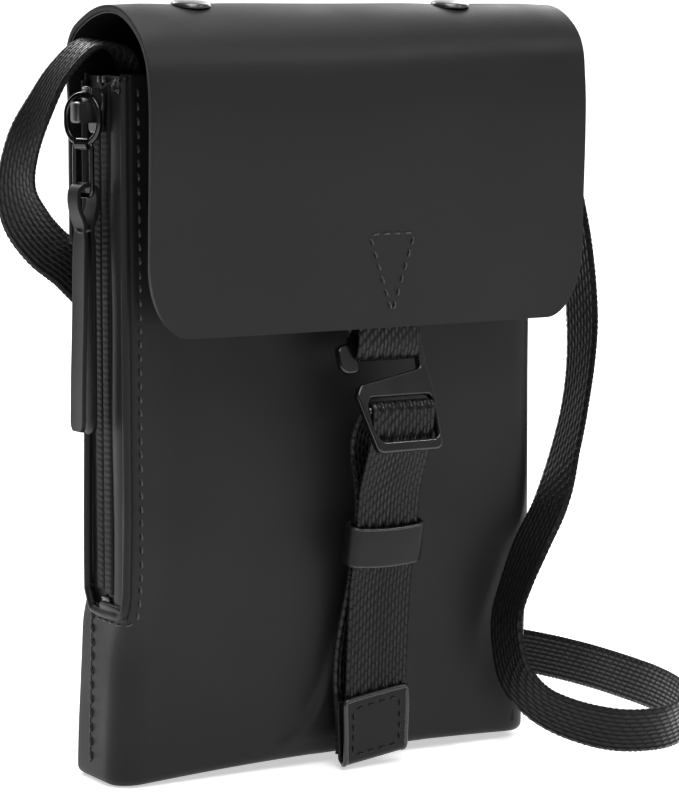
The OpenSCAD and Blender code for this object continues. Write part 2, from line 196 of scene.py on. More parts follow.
def thick(obj, thickness, offset, bevel=0.45, segments=3, angle=50):
    """Gives a sheet its thickness and rounds its cut edges."""
    solid = obj.modifiers.new("thickness", "SOLIDIFY")
    solid.thickness = thickness * MM
    solid.offset = offset
    solid.use_even_offset = True
    if bevel:
        edge = obj.modifiers.new("edge", "BEVEL")
        edge.width = bevel * MM
        edge.segments = segments
        edge.limit_method = "ANGLE"
        edge.angle_limit = math.radians(angle)
    return finish_mesh(obj)


def sweep(name, path, section, material, across=None, closed=False):
    """Sweeps a closed section of (side, up) pairs along a path; across gives the side direction."""
    path = np.asarray(path, float)
    if closed:
        tangent = unit(np.roll(path, -1, 0) - np.roll(path, 1, 0))
    else:
        tangent = unit(np.gradient(path, axis=0))
    if across is None:
        side = np.zeros_like(path)
        guess = np.array([0.0, 0, 1]) if abs(tangent[0][2]) < 0.9 else np.array([1.0, 0, 0])
        prev = np.cross(tangent[0], guess)
        for i, t in enumerate(tangent):
            prev = unit(prev - (prev @ t) * t)
            side[i] = prev
    else:
        side = np.broadcast_to(np.asarray(across, float), path.shape)
        side = unit(side - (side * tangent).sum(1)[:, None] * tangent)
    up = np.cross(tangent, side)
    section = np.asarray(section, float)
    rings = path[:, None] + section[:, :1] * side[:, None] + section[:, 1:] * up[:, None]
    return tube(name, rings, material, closed)


def ring_section(radius, count=12, up_radius=None):
    """Section of a round or oval wire."""
    return arc((0, 0), (radius, up_radius or radius), [360 * k / count for k in range(count)])


def rounded_rect(half_w, half_h, radius, steps=4):
    """Section of a bar with rounded corners, anticlockwise."""
    x, y = half_w - radius, half_h - radius
    out = []
    for start, centre in zip((0, 90, 180, 270), ((x, y), (-x, y), (-x, -y), (x, -y))):
        out += arc(centre, (radius, radius), [start + 90 * k / steps for k in range(steps + 1)])
    return out


def fillet(corners, steps=5):
    """Closed outline through (x, y, radius) corners, each rounded by an arc."""
    out = []
    n = len(corners)
    for i in range(n):
        p, r = np.array(corners[i][:2], float), corners[i][2]
        a, b = np.array(corners[i - 1][:2], float), np.array(corners[(i + 1) % n][:2], float)
        u, v = unit(a - p), unit(b - p)
        half = math.acos(float(np.clip(u @ v, -1, 1))) / 2
        if r <= 0:
            out.append(tuple(p))
            continue
        reach = min(r / math.tan(half), 0.49 * min(np.linalg.norm(a - p), np.linalg.norm(b - p)))
        r = reach * math.tan(half)
        centre = p + unit(u + v) * (r / math.sin(half))
        start, end = p + u * reach - centre, p + v * reach - centre
        turn = math.atan2(start[0] * end[1] - start[1] * end[0], start @ end)
        for k in range(steps + 1):
            t = turn * k / steps
            c, s = math.cos(t), math.sin(t)
            out.append((centre[0] + start[0] * c - start[1] * s, centre[1] + start[0] * s + start[1] * c))
    return out


def plate(name, outlines, thickness, bevel, material, place):
    """A plate with holes and rounded edges.

    Its outlines lie in its own (x, z) plane, and place maps that plane to the row frame.
    """
    curve = bpy.data.curves.new(name, "CURVE")
    curve.dimensions = "2D"
    curve.fill_mode = "BOTH"
    curve.extrude = (thickness / 2 - bevel) * MM
    curve.bevel_depth = bevel * MM
    curve.bevel_resolution = 3
    curve.offset = -bevel * MM
    for line in outlines:
        spline = curve.splines.new("POLY")
        spline.points.add(len(line) - 1)
        for point, (x, z) in zip(spline.points, line):
            point.co = (x * MM, z * MM, 0, 1)
        spline.use_cyclic_u = True
    obj = bpy.data.objects.new(name, curve)
    bpy.context.scene.collection.objects.link(obj)
    graph = bpy.context.evaluated_depsgraph_get()
    mesh = bpy.data.meshes.new_from_object(obj.evaluated_get(graph))
    bpy.data.objects.remove(obj)
    bpy.data.curves.remove(curve)
    co = np.empty(len(mesh.vertices) * 3)
    mesh.vertices.foreach_get("co", co)
    co = co.reshape(-1, 3) / MM
    co = place(np.stack([co[:, 0], -co[:, 2], co[:, 1]], 1)) * MM
    mesh.vertices.foreach_set("co", co.ravel())
    mesh.materials.clear()
    mesh.materials.append(material)
    mesh.shade_smooth()
    mesh.set_sharp_from_angle(angle=math.radians(40))
    obj = bpy.data.objects.new(name, mesh)
    bpy.context.scene.collection.objects.link(obj)
    return obj


def block(name, low, high, radius, material, segments=3):
    """A box with rounded edges."""
    low, high = np.array(low, float), np.array(high, float)
    corners = [(x, y, z) for x in (low[0], high[0]) for y in (low[1], high[1]) for z in (low[2], high[2])]
    faces = [(0, 1, 3, 2), (4, 6, 7, 5), (0, 4, 5, 1), (2, 3, 7, 6), (0, 2, 6, 4), (1, 5, 7, 3)]
    obj = piece(name, corners, faces, material)
    edge = obj.modifiers.new("edge", "BEVEL")
    edge.width = radius * MM
    edge.segments = segments
    return finish_mesh(obj, 35)


def joined(name, objs):
    """Makes one object of several."""
    bpy.ops.object.select_all(action="DESELECT")
    for o in objs:
        o.select_set(True)
    bpy.context.view_layer.objects.active = objs[0]
    bpy.ops.object.join()
    objs[0].name = name
    return objs[0]


def set_up(obj, body, slot, *nodes):
    """Rides on a body and stands for CAD nodes; slot is not used."""
    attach(obj, body)
    if nodes:
        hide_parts(*nodes)
    return obj


# ---------------------------------------------------------------- materials


class Nodes:
    """Short calls for building a material's node tree."""

    def __init__(self, name):
        self.material = bpy.data.materials.new(name)
        self.material.use_nodes = True
        self.tree = self.material.node_tree
        self.shader = self.tree.nodes["Principled BSDF"]

    def add(self, kind, inputs=None, **settings):
        node = self.tree.nodes.new(kind)
        for key, value in settings.items():
            setattr(node, key, value)
        for key, value in (inputs or {}).items():
            self.put(node.inputs[key], value)
        return node

    def put(self, socket, value):
        if isinstance(value, bpy.types.NodeSocket):
            self.tree.links.new(value, socket)
        else:
            socket.default_value = value

    def math(self, operation, *values):
        node = self.tree.nodes.new("ShaderNodeMath")
        node.operation = operation
        for socket, value in zip(node.inputs, values):
            self.put(socket, value)
        return node.outputs[0]

    def noise(self, scale, detail=2.0, vector=None):
        node = self.add("ShaderNodeTexNoise", {"Scale": scale, "Detail": detail})
        self.put(node.inputs["Vector"], vector if vector is not None else self.object_coordinates())
        return node.outputs["Fac"]

    def sum(self, first, share, second, second_share):
        """Two values added, each by its share."""
        return self.math(
            "ADD", self.math("MULTIPLY", first, share), self.math("MULTIPLY", second, second_share)
        )

    def object_coordinates(self):
        if not hasattr(self, "coordinates"):
            self.coordinates = self.add("ShaderNodeTexCoord")
        return self.coordinates.outputs["Object"]

    def spread(self, value, low, high, out_low=0.0, out_high=1.0):
        inputs = {"From Min": low, "From Max": high, "To Min": out_low, "To Max": out_high}
        node = self.add("ShaderNodeMapRange", inputs)
        self.put(node.inputs["Value"], value)
        return node.outputs[0]

    def colours(self, factor, *stops):
        node = self.add("ShaderNodeValToRGB")
        self.put(node.inputs["Fac"], factor)
        elements = node.color_ramp.elements
        while len(elements) < len(stops):
            elements.new(0.5)
        for element, (place, colour) in zip(elements, stops):
            element.position = place
            element.color = (*colour, 1)
        return node.outputs[0]

    def bump(self, height, distance, strength=1.0, normal=None):
        node = self.add("ShaderNodeBump", {"Strength": strength, "Distance": distance, "Height": height})
        if normal is not None:
            self.put(node.inputs["Normal"], normal)
        return node.outputs[0]


    def surface(self, colour, roughness, normal):
        """Links what varies over the surface."""
        for name, value in (("Base Color", colour), ("Roughness", roughness), ("Normal", normal)):
            self.put(self.shader.inputs[name], value)


def grey(value):
    """A near black with a faint cool cast."""
    return (value, value, value * 1.04)


def leather(name, base, roughness, grain=0.05, gloss=0.35, coat=0.0):
    """Coated leather: fine pebble grain, slow drift of tone and polish."""
    n = Nodes(name)
    cells = n.add("ShaderNodeTexVoronoi", {"Scale": 1500.0, "Randomness": 1.0}, feature="F1")
    n.put(cells.inputs["Vector"], n.object_coordinates())
    fine = n.noise(2600.0, 3.0)
    slow = n.noise(22.0, 3.0)
    tone = n.sum(slow, 0.75, fine, 0.25)
    colour = n.colours(tone, (0.3, grey(base * 0.86)), (0.7, grey(base * 1.16)))
    polish = n.sum(n.noise(60.0, 4.0), 0.6, fine, 0.4)
    rough = n.spread(polish, 0.3, 0.7, roughness - 0.06, roughness + 0.06)
    height = n.sum(cells.outputs["Distance"], 0.7, fine, 0.5)
    broad = n.bump(slow, 0.0012, 0.25)
    n.surface(colour, rough, n.bump(height, grain * MM, 0.55, broad))
    n.shader.inputs["Specular IOR Level"].default_value = gloss
    if coat:
        n.shader.inputs["Coat Weight"].default_value = coat
        n.shader.inputs["Coat Roughness"].default_value = 0.3
    return n.material


# How far each warp cord's float is shifted from the cord beside it, in float lengths
WARP_STAGGER = 0.37


def webbing_material(name, base, column, float_length, roughness=0.17, gloss=0.19):
    """Twill nylon webbing from the piece's UVs.

    The warp cords lie side by side, each dipping under the weft in turn.
    """
    n = Nodes(name)
    uv = n.add("ShaderNodeUVMap")
    parts = n.add("ShaderNodeSeparateXYZ")
    n.put(parts.inputs[0], uv.outputs[0])
    across = n.math("DIVIDE", parts.outputs[0], column * MM)
    along = n.math("DIVIDE", parts.outputs[1], float_length * MM)
    index = n.math("FLOOR", across)
    local = n.math("SUBTRACT", n.math("MULTIPLY", n.math("FRACT", across), 2.0), 1.0)
    ridge = n.math("SUBTRACT", 1.0, n.math("POWER", n.math("ABSOLUTE", local), 2.2))
    stagger = n.sum(index, WARP_STAGGER, local, 0.09)
    phase = n.math("FRACT", n.math("ADD", along, stagger))
    cord = n.math("POWER", n.math("SINE", n.math("MULTIPLY", phase, math.pi)), 0.5)
    height = n.math("MULTIPLY", ridge, n.spread(cord, 0.0, 1.0, 0.25, 1.0))
    stretched = n.add("ShaderNodeMapping", {"Scale": (9000.0, 900.0, 1.0)})
    n.put(stretched.inputs["Vector"], uv.outputs[0])
    fibre = n.noise(1.0, 2.0, stretched.outputs[0])
    slow = n.noise(35.0, 2.0)
    # The colour follows the cords' relief: painted shade in the dips between cords and a painted highlight
    # on their crowns, over random fibre and a slow drift of tone
    tone = n.math("MULTIPLY", height, n.spread(fibre, 0.25, 0.75, 0.72, 1.15))
    tone = n.math("MULTIPLY", tone, n.spread(slow, 0.3, 0.7, 0.85, 1.12))
    colour = n.colours(
        tone, (0.0, grey(base * 0.25)), (0.55, grey(base)), (1.0, grey(base * 1.7))
    )
    rough = n.spread(tone, 0.1, 0.9, 0.85, roughness - 0.06)
    relief = n.math("ADD", height, n.math("MULTIPLY", fibre, 0.18))
    n.surface(colour, rough, n.bump(relief, 0.28 * MM, 0.9))
    n.shader.inputs["Specular IOR Level"].default_value = gloss
    return n.material


def metal(name, base, roughness, worn=0.0):
    """Black-plated zinc: nearly smooth, with a little orange peel and polish on the high spots."""
    n = Nodes(name)
    cloud = n.noise(140.0, 3.0)
    speck = n.noise(3200.0, 2.0)
    tone = n.sum(cloud, 0.6, speck, 0.4)
    colour = n.colours(tone, (0.35, grey(base * 0.8)), (0.68, grey(base * (1.25 + worn))))
    rough = n.spread(tone, 0.3, 0.7, roughness - 0.05, roughness + 0.07)
    n.surface(colour, rough, n.bump(speck, 0.02 * MM, 0.35))
    n.shader.inputs["Metallic"].default_value = 0.85
    n.shader.inputs["Coat Weight"].default_value = 0.5
    n.shader.inputs["Coat Roughness"].default_value = 0.1
    return n.material


def cloth(name, base):
    """Plain weave in object space."""
    n = Nodes(name)
    settings = {"Scale": 1600.0 / 6.28, "Distortion": 0.6, "Detail": 1.0}
    weft = n.add("ShaderNodeTexWave", settings, bands_direction="Z")
    warp = n.add("ShaderNodeTexWave", settings, bands_direction="X")
    for wave in (weft, warp):
        n.put(wave.inputs["Vector"], n.object_coordinates())
    weave = n.math("MAXIMUM", weft.outputs["Fac"], warp.outputs["Fac"])
    tone = n.sum(weave, 0.6, n.noise(40.0), 0.4)
    colour = n.colours(tone, (0.2, grey(base * 0.7)), (0.8, grey(base * 1.3)))
    n.surface(colour, n.spread(tone, 0.2, 0.8, 0.75, 0.88), n.bump(weave, 0.12 * MM, 0.6))
    n.shader.inputs["Specular IOR Level"].default_value = 0.25
    return n.material


def thread(name, base):
    """Twisted polyester thread."""
    n = Nodes(name)
    strands = n.noise(2400.0, 2.0)
    colour = n.colours(strands, (0.3, grey(base * 0.6)), (0.7, grey(base * 1.5)))
    n.surface(colour, n.spread(strands, 0.3, 0.7, 0.28, 0.5), n.bump(strands, 0.1 * MM, 0.6))
    return n.material


def board_material(name):
    """Pressed fibre board."""
    n = Nodes(name)
    fibre = n.noise(300.0, 5.0)
    colour = n.colours(fibre, (0.3, (0.2, 0.18, 0.15)), (0.7, (0.33, 0.3, 0.26)))
    n.surface(colour, n.spread(fibre, 0.3, 0.7, 0.8, 0.95), n.bump(fibre, 0.1 * MM, 0.5))
    return n.material


BODY = leather("body_leather", 0.0065, 0.48, gloss=0.21)
FLAP = leather("flap_leather", 0.007, 0.46, gloss=0.22)
EDGE = leather("edge_leather", 0.0055, 0.38, grain=0.03, gloss=0.26)
TRIM = leather("trim_leather", 0.0045, 0.42, grain=0.04, gloss=0.2)
STRAP_WEB = webbing_material("strap_webbing", 0.005, 1.4, 3.4, gloss=0.17)
CLOSURE_WEB = webbing_material("closure_webbing_weave", 0.0015, 1.15, 3.0, roughness=0.15, gloss=0.24)
METAL = metal("black_metal", 0.02, 0.2)
GUN = metal("gun_metal", 0.05, 0.3, worn=0.3)
LINING = cloth("lining_cloth", 0.004)
TAPE = leather("zip_tape_coated", 0.0065, 0.45, grain=0.03, gloss=0.24)
COIL = leather("zip_coil_coated", 0.005, 0.5, grain=0.02, gloss=0.14)
POLISHED = leather("polished_edge", 0.006, 0.26, grain=0.01, gloss=0.4, coat=0.3)
THREAD = thread("sewing_thread", 0.022)
BOARD = board_material("fibre_board")

# ---------------------------------------------------------------- camera, light and floor
CAMERA_TURN = -30.25
camera_data = bpy.data.cameras.new("camera")
camera_data.lens = 145.6
camera_data.sensor_width = 36
camera = bpy.data.objects.new("camera", camera_data)
camera.location = (-0.4518, -0.7924, 0.2152)
camera.rotation_euler = (math.radians(90 - 6.94), 0, math.radians(CAMERA_TURN))
bpy.context.scene.collection.objects.link(camera)
bpy.context.scene.camera = camera


def area_light(name, place, target, size, power):
    """A rectangular light at a place, turned to a target, both in metres."""
    data = bpy.data.lights.new(name, "AREA")
    data.shape = "RECTANGLE"
    data.size, data.size_y = size
    data.energy = power
    light = bpy.data.objects.new(name, data)
    light.location = place
    light.rotation_euler = (Vector(target) - Vector(place)).to_track_quat("-Z", "Y").to_euler()
    bpy.context.scene.collection.objects.link(light)


world = bpy.data.worlds.new("studio")
world.use_nodes = True
sky = world.node_tree
direction = sky.nodes.new("ShaderNodeTexCoord")
split = sky.nodes.new("ShaderNodeSeparateXYZ")
sideways = sky.nodes.new("ShaderNodeMapRange")
for key, value in {"From Min": -0.9, "From Max": 0.5, "To Min": 0.05, "To Max": 0.5}.items():
    sideways.inputs[key].default_value = value
sky.links.new(direction.outputs["Generated"], split.inputs[0])
sky.links.new(split.outputs[0], sideways.inputs["Value"])
sky.links.new(sideways.outputs[0], sky.nodes["Background"].inputs["Strength"])
sky.nodes["Background"].inputs["Color"].default_value = (1, 1, 1, 1)
bpy.context.scene.world = world
bpy.context.scene.view_settings.view_transform = "Standard"
for name, place, target_z, size, power in (
    ("key", (-0.2, -1.0, 1.3), 0.1, (0.9, 0.9), 12),
    ("top", (0.1, -0.1, 1.6), 0.1, (1.0, 0.6), 14),
    ("side", (-1.3, 0.1, 0.9), 0.1, (0.3, 0.8), 0.6),
    ("glint", (-0.3, -0.8, 1.5), 0.1, (0.12, 0.12), 1.4),
    ("spark", (0.8, -0.85, 1.05), 0.1, (0.15, 0.15), 3.0),
    ("rim", (1.0, 0.9, 0.8), 0.12, (0.5, 0.9), 5),
    ("back", (-0.05, 1.1, 1.0), 0.15, (0.5, 0.35), 5),
):
    area_light(name, place, (0, 0, target_z), size, power)

paper = Nodes("floor_paper")
tone = paper.colours(paper.noise(9.0, 3.0), (0.3, (0.86, 0.86, 0.86)), (0.7, (0.9, 0.9, 0.9)))
paper.put(paper.shader.inputs["Base Color"], tone)
paper.shader.inputs["Roughness"].default_value = 0.7
paper.shader.inputs["Emission Color"].default_value = (1, 1, 1, 1)
paper.shader.inputs["Emission Strength"].default_value = 0.55
FLOOR_HALF, FLOOR_END, SWEEP_R, BACKDROP_H = 2600.0, 1200.0, 900.0, 2600.0
FLOOR_DROP = 0.05
# Side view of the paper: flat under the bag, curving up to a backdrop behind it
profile = [(-FLOOR_HALF, 0.0), (FLOOR_END, 0.0)]
profile += arc((FLOOR_END, SWEEP_R), (SWEEP_R, -SWEEP_R), range(84, -1, -6))
profile += [(FLOOR_END + SWEEP_R, BACKDROP_H)]
c, s = math.cos(math.radians(CAMERA_TURN)), math.sin(math.radians(CAMERA_TURN))
floor_rows = [
    [(x * c - y * s, x * s + y * c, z - FLOOR_DROP) for x in (-FLOOR_HALF, FLOOR_HALF)] for y, z in profile
]
floor = sheet("floor", floor_rows, paper.material)

# ---------------------------------------------------------------- shoulder strap
STRAP_W, STRAP_T, STRAP_COLUMNS = 14.0, 1.6, 10
# Centre points of the CAD's strap, each with the direction of the strap's width. On the right, from
# 60 to 144 mm up, the width turns a little differently from the CAD's.
STRAP_ROUTE = [
    ((-58, -4, 190), (0, 1, 0)), ((-58.2, -4, 198), (0, 1, 0)), ((-62.5, -5, 204), (0, 1, 0)),
    ((-71, -5, 205), (0, 1, 0.1)), ((-78, -2, 198), (0, 1, 0.1)), ((-82, 3, 188), (-0.1, 1, 0)),
    ((-84, 10, 177), (-0.2, 1, 0)), ((-83, 16, 166), (-0.2, 0.9, -0.3)),
    ((-78, 21, 156), (-0.3, 0.7, -0.6)), ((-70, 25, 148), (-0.2, 0.5, -0.8)),
    ((-60, 28, 141), (-0.3, 0.3, -0.9)), ((-46, 31, 127), (-0.6, 0.1, -0.8)),
    ((-33, 34, 108), (-0.8, 0, -0.6)), ((-21, 37, 86), (-0.8, 0, -0.5)),
    ((-9, 40, 62), (-0.8, 0, -0.5)), ((4, 43, 40), (-0.8, 0, -0.6)),
    ((19, 45, 21), (-0.5, 0, -0.8)), ((37, 46, 11), (-0.2, 0, -1)),
    ((56, 47, 8), (0, 0, -1)), ((70, 54, 7.5), (0, 0, -1)), ((70, 70, 7.5), (0, 0, -1)),
    ((56, 77, 7.5), (0, 0, -1)), ((36, 76, 7.5), (0, 0, -1)), ((14, 75, 7.5), (0, 0, -1)),
    ((-6, 77, 7.5), (0, 0, -1)), ((-18, 88, 8), (0, 0, -1)), ((-13, 101, 9), (0, 0, -1)),
    ((3, 105, 10), (0, 0, -1)), ((20, 105, 10), (0, 0, -1)), ((37, 105, 10), (0, 0, -1)),
    ((54, 105, 10), (0, 0, -1)), ((71, 105, 10), (0, 0, -1)), ((88, 101, 9), (0, 0, -1)),
    ((102, 91, 8), (0, 0, -1)), ((112, 76, 7.5), (0, 0, -1)), ((118, 57, 7.5), (0, 0, -1)),
    ((121, 36, 7.5), (0, 0, -1)), ((121, 14, 7.5), (0, 0, -1)), ((119, -8, 7.5), (0, 0, -1)),
    ((113, -28, 7.5), (0, 0, -1)), ((102, -43, 7.5), (0, 0.1, -1)),
    ((88, -51, 7.5), (0, 0.3, -1)), ((75, -49, 8), (0, 0.4, -1)),
    ((66, -41, 10), (0, 0.5, -0.9)), ((59, -33, 14), (0, 0.6, -0.8)),
    ((54, -28, 21), (-0.1, 0.7, -0.6)), ((52, -26, 30), (-0.1, 0.8, -0.4)),
    ((52, -25, 40), (-0.1, 0.9, -0.2)), ((55.5, -25, 50), (-0.1, 0.9, 0)),
    ((60.6, -24.7, 60), (-0.15, 0.9, 0.1)), ((69, -21.8, 71), (0, 0.95, 0.2)),
    ((77.2, -16, 83), (0.1, 1, 0.15)), ((84, -11.5, 96), (0.1, 1, 0.1)),
    ((88, -9, 110), (0, 1, 0)), ((89, -8, 125), (-0.1, 1, 0)), ((87, -8, 144), (-0.1, 1, 0)),
    ((83, -8, 162), (-0.1, 1, 0)), ((79, -7, 178), (-0.1, 1, 0)), ((75, -6, 192), (0, 1, 0)),
    ((70, -5, 202), (0, 1, 0)), ((64.4, -4, 201), (0, 1, 0)), ((63.9, -4, 190), (0, 1, 0)),
]


def woven_band(name, path, width, thickness, columns, float_length, material, per_column=2, relief=0.16):
    """A webbing along a path of points and width directions.

    Its faces carry the warp cords as real ridges, and its selvedges are beaded.
    """
    centre, width_way = path[:, :3], path[:, 3:]
    tangent = unit(np.gradient(centre, axis=0))
    side = unit(width_way - (width_way * tangent).sum(1)[:, None] * tangent)
    up = np.cross(tangent, side)
    s = arc_lengths(centre)
    steps = columns * per_column
    u = np.linspace(-1, 1, steps + 1)
    flat = np.concatenate([u[1:-1], u[::-1][1:-1]])
    which = np.concatenate([np.ones(steps - 1), -np.ones(steps - 1)])
    column = np.floor((flat + 1) / 2 * columns + 1e-6)
    local = ((flat + 1) / 2 * columns - column) * 2 - 1
    ridge = 1 - np.abs(local) ** 2
    phase = s[:, None] / float_length + column[None] * WARP_STAGGER + 0.5 * (which[None] < 0)
    wave = 0.5 + 0.5 * np.cos(2 * math.pi * phase)
    height = thickness / 2 - relief + relief * ridge[None] * (0.35 + 0.65 * wave)
    across = np.broadcast_to(flat * (width / 2 - 0.35), height.shape)
    both_faces = np.stack([across, height * which[None]], 2)
    bead = width / 2 - 0.08 + 0.12 * np.cos(2 * math.pi * s / 1.9)[:, None]
    edge_up = np.broadcast_to(np.array([0.45, 0.0, -0.45]) * thickness * 0.55, (len(s), 3))
    right = np.stack([np.broadcast_to(bead, (len(s), 3)), edge_up], 2)
    top, bottom = both_faces[:, : steps - 1], both_faces[:, steps - 1 :]
    section = np.concatenate([top, right, bottom, -right], 1)
    rings = centre[:, None] + section[:, :, :1] * side[:, None] + section[:, :, 1:] * up[:, None]
    along = np.broadcast_to(s[:, None], section.shape[:2])
    uv = np.stack([section[:, :, 0] + width / 2, along], 2).reshape(-1, 2) * MM
    return tube(name, rings, material, uv=uv)


route = np.array([p + d for p, d in STRAP_ROUTE], float)
strap_points = resample(smooth_path(route, 24), 0.85)
strap = woven_band(
    "shoulder_strap_webbing", strap_points, STRAP_W, STRAP_T, STRAP_COLUMNS, 3.4, STRAP_WEB
)
set_up(strap, "pouch", "webbing", "shoulder_strap")

# ---------------------------------------------------------------- pouch shell
BODY_T = 1.6
FRONT_BEAD_Y, BACK_BEAD_Y = -14.6, 5.4
WINDOW_X, WINDOW_FOOT_Z = -64.2, 48.5
FOOT_ROLL = 2.6
# Course of the soft fold, as (x, z)
FOLD = np.array([
    (-19.0, 3.0), (-17.0, 5.0), (-12.2, 6.8), (-6.0, 13.3), (-1.7, 22.4), (0.6, 33.2), (2.2, 38.0),
    (3.0, 60.0),
])


def base_arch(x, y):
    """How far the lower edge lifts off the floor: most in front of the middle."""
    lift = 3.0 * (1 - ((x - 12) / 80) ** 2)
    return np.clip(lift, 0, None) * ramp(POUCH_BACK, -14, y)


def front_depth(z):
    """How far the shell's front stands before the plane y = 0 at a height."""
    return 13.5 + 3.1 * ramp(0, 75, z) - 0.5 * ramp(150, RIM_Z, z)


def back_depth(z):
    """How far its back stands behind that plane."""
    return 11.0 - 1.6 * ramp(0, 60, z) + 1.2 * ramp(120, RIM_Z, z)


def plan_at(z, inset=0.0, straight=(110, 8, 40, 9), steps=7):
    """Plan of the shell at one height, clockwise from the front left corner as seen from below."""
    left = -(68.3 - 1.5 * ramp(0, 55, z)) + inset
    right = 68.4 - 0.4 * ramp(20, 90, z) - inset
    front, back = -front_depth(z) + inset, back_depth(z) - inset
    r_left = max(0.3, 8.5 - 5.9 * ramp(34, 56, z) - inset)
    r_right = max(0.3, 8.0 - inset)
    r_back = max(0.3, 5.0 - 3.2 * ramp(58, 44, z) - inset)
    corners = [
        (left + r_left, front + r_left, r_left),
        (right - r_right, front + r_right, r_right),
        (right - r_back, back - r_back, r_back),
        (left + r_back, back - r_back, r_back),
    ]
    turns = [
        arc((x, y), (r, r), [start + 90 * k / steps for k in range(steps + 1)])
        for (x, y, r), start in zip(corners, (180, 270, 0, 90))
    ]
    rows = []
    for i, count in enumerate(straight):
        last, end = np.array(turns[i][-1]), np.array(turns[(i + 1) % 4][0])
        rows += turns[i] + [tuple(last + (end - last) * k / count) for k in range(1, count)]
    return np.array(rows)


def bulge(points, z):
    """Leather over a full pouch: the big faces crown a little and the window's lip stands proud."""
    x, y = points[:, 0], points[:, 1]
    crown = np.clip(1 - (x / 67) ** 2, 0, 1) * math.sin(math.pi * min(1, z / RIM_Z)) ** 0.8
    facing = ramp(-6, -13, y) - ramp(5, 9, y)
    lip = ramp(-52, -66, x) * ramp(40, 62, z) * ramp(-8, -14, y)
    # A soft fold runs down and away to the left from behind the end tab
    fold_x = np.interp(z, FOLD[:, 1], FOLD[:, 0])
    fold = ramp(-3.2, 0.6, x - fold_x) * ramp(32, 6, x) * ramp(48, 34, z) * ramp(1.5, 8, z)
    soft = 0.18 * np.sin(x * 0.11 + z * 0.06) * np.sin(z * 0.045 + x * 0.03 + 1.0)
    shift = np.where(y < 0, -1.0 * crown - 1.3 * fold, 0.6 * crown) * np.abs(facing)
    # Below the window the back corner stands out a little squarer
    shift = shift + 2.2 * ramp(62, 40, z) * ramp(-25, -62, x) * ramp(1, 8, y)
    return np.stack([x, y + shift - 2.1 * lip + soft * np.abs(facing), np.full_like(x, z)], 1)


levels = [0.0, 0.25, 0.7, 1.4, 2.3, 3.4]
levels += list(np.linspace(5.2, 49, 34)) + list(np.linspace(51, RIM_Z - 1.2, 66)) + [RIM_Z]
shell_rows = []
for z in levels:
    inset = FOOT_ROLL - math.sqrt(FOOT_ROLL**2 - (FOOT_ROLL - z) ** 2) if z < FOOT_ROLL else 0.0
    ring = bulge(plan_at(z, inset), z)
    ring[:, 2] += base_arch(ring[:, 0], ring[:, 1]) * (1 - ramp(0, 60, z))
    shell_rows.append(ring)
shell_verts = np.concatenate(shell_rows)


def in_window(face):
    """True for a face inside the zip's window."""
    x, y, z = shell_verts[list(face)].mean(0)
    return x < WINDOW_X and FRONT_BEAD_Y < y < BACK_BEAD_Y and z > WINDOW_FOOT_Z


shell_faces = grid_faces(len(levels), len(shell_rows[0]), close_cols=True)
shell = piece("pouch_shell", shell_verts, [f for f in shell_faces if not in_window(f)], BODY)
thick(shell, BODY_T, -1, bevel=0.35, segments=2, angle=60)


def caster(obj):
    """Ray casts against a piece, in millimetres."""
    tree = BVHTree.FromObject(obj, bpy.context.evaluated_depsgraph_get())

    def cast(origin, direction):
        hit, normal, _, _ = tree.ray_cast(Vector(origin) * MM, Vector(direction).normalized())
        return (np.array(hit) / MM, np.array(normal)) if hit is not None else (None, None)

    return cast


on_shell = caster(shell)
set_up(shell, "pouch", "leather_body", "front_panel", "back_panel")

# The base: a thin plate inside the shell's rolled foot, highest along its middle
base_rings = []
for inset, z in ((2.2, 0.15), (5.0, 0.35), (9.5, 0.7)):
    ring = plan_at(0, inset)
    base_rings.append(np.column_stack([ring, z + base_arch(ring[:, 0], ring[:, 1])]))
around = len(base_rings[0])
SPINE_HALF, SPINE_COUNT = 58.0, 30
spine = [(x, -1.0, 0.9 + base_arch(x, -1.0)) for x in np.linspace(-SPINE_HALF, SPINE_HALF, SPINE_COUNT)]
base_verts = np.concatenate(base_rings + [spine])
spine_first = len(base_verts) - SPINE_COUNT


def nearest_spine(vertex):
    """The spine's point beside a vertex of the innermost ring."""
    place = (base_verts[vertex][0] + SPINE_HALF) / (2 * SPINE_HALF) * (SPINE_COUNT - 1)
    return spine_first + int(np.clip(round(place), 0, SPINE_COUNT - 1))


base_faces = grid_faces(len(base_rings), around, close_cols=True)
for j in range(around):
    a, b = spine_first - around + j, spine_first - around + (j + 1) % around
    p, q = nearest_spine(a), nearest_spine(b)
    base_faces.append((a, b, q, p) if p != q else (a, b, p))
base = piece("pouch_base", base_verts, base_faces, BODY)
thick(base, 1.0, 1, bevel=0)
set_up(base, "pouch", "leather_body", "base_panel")

# ---------------------------------------------------------------- stitches
RING_N, ALONG_N, SLANT = 7, 8, 6.0


def hits(row):
    """The casts of a row that met something."""
    return [hit for hit in row if hit[0] is not None]


def hits_between(cast, start, end, stops):
    """Hits from the front on a straight line between two (x, z) points."""
    (xa, za), (xb, zb) = start, end
    return hits([cast((xa + (xb - xa) * t, -90, za + (zb - za) * t), (0, 1, 0)) for t in stops])


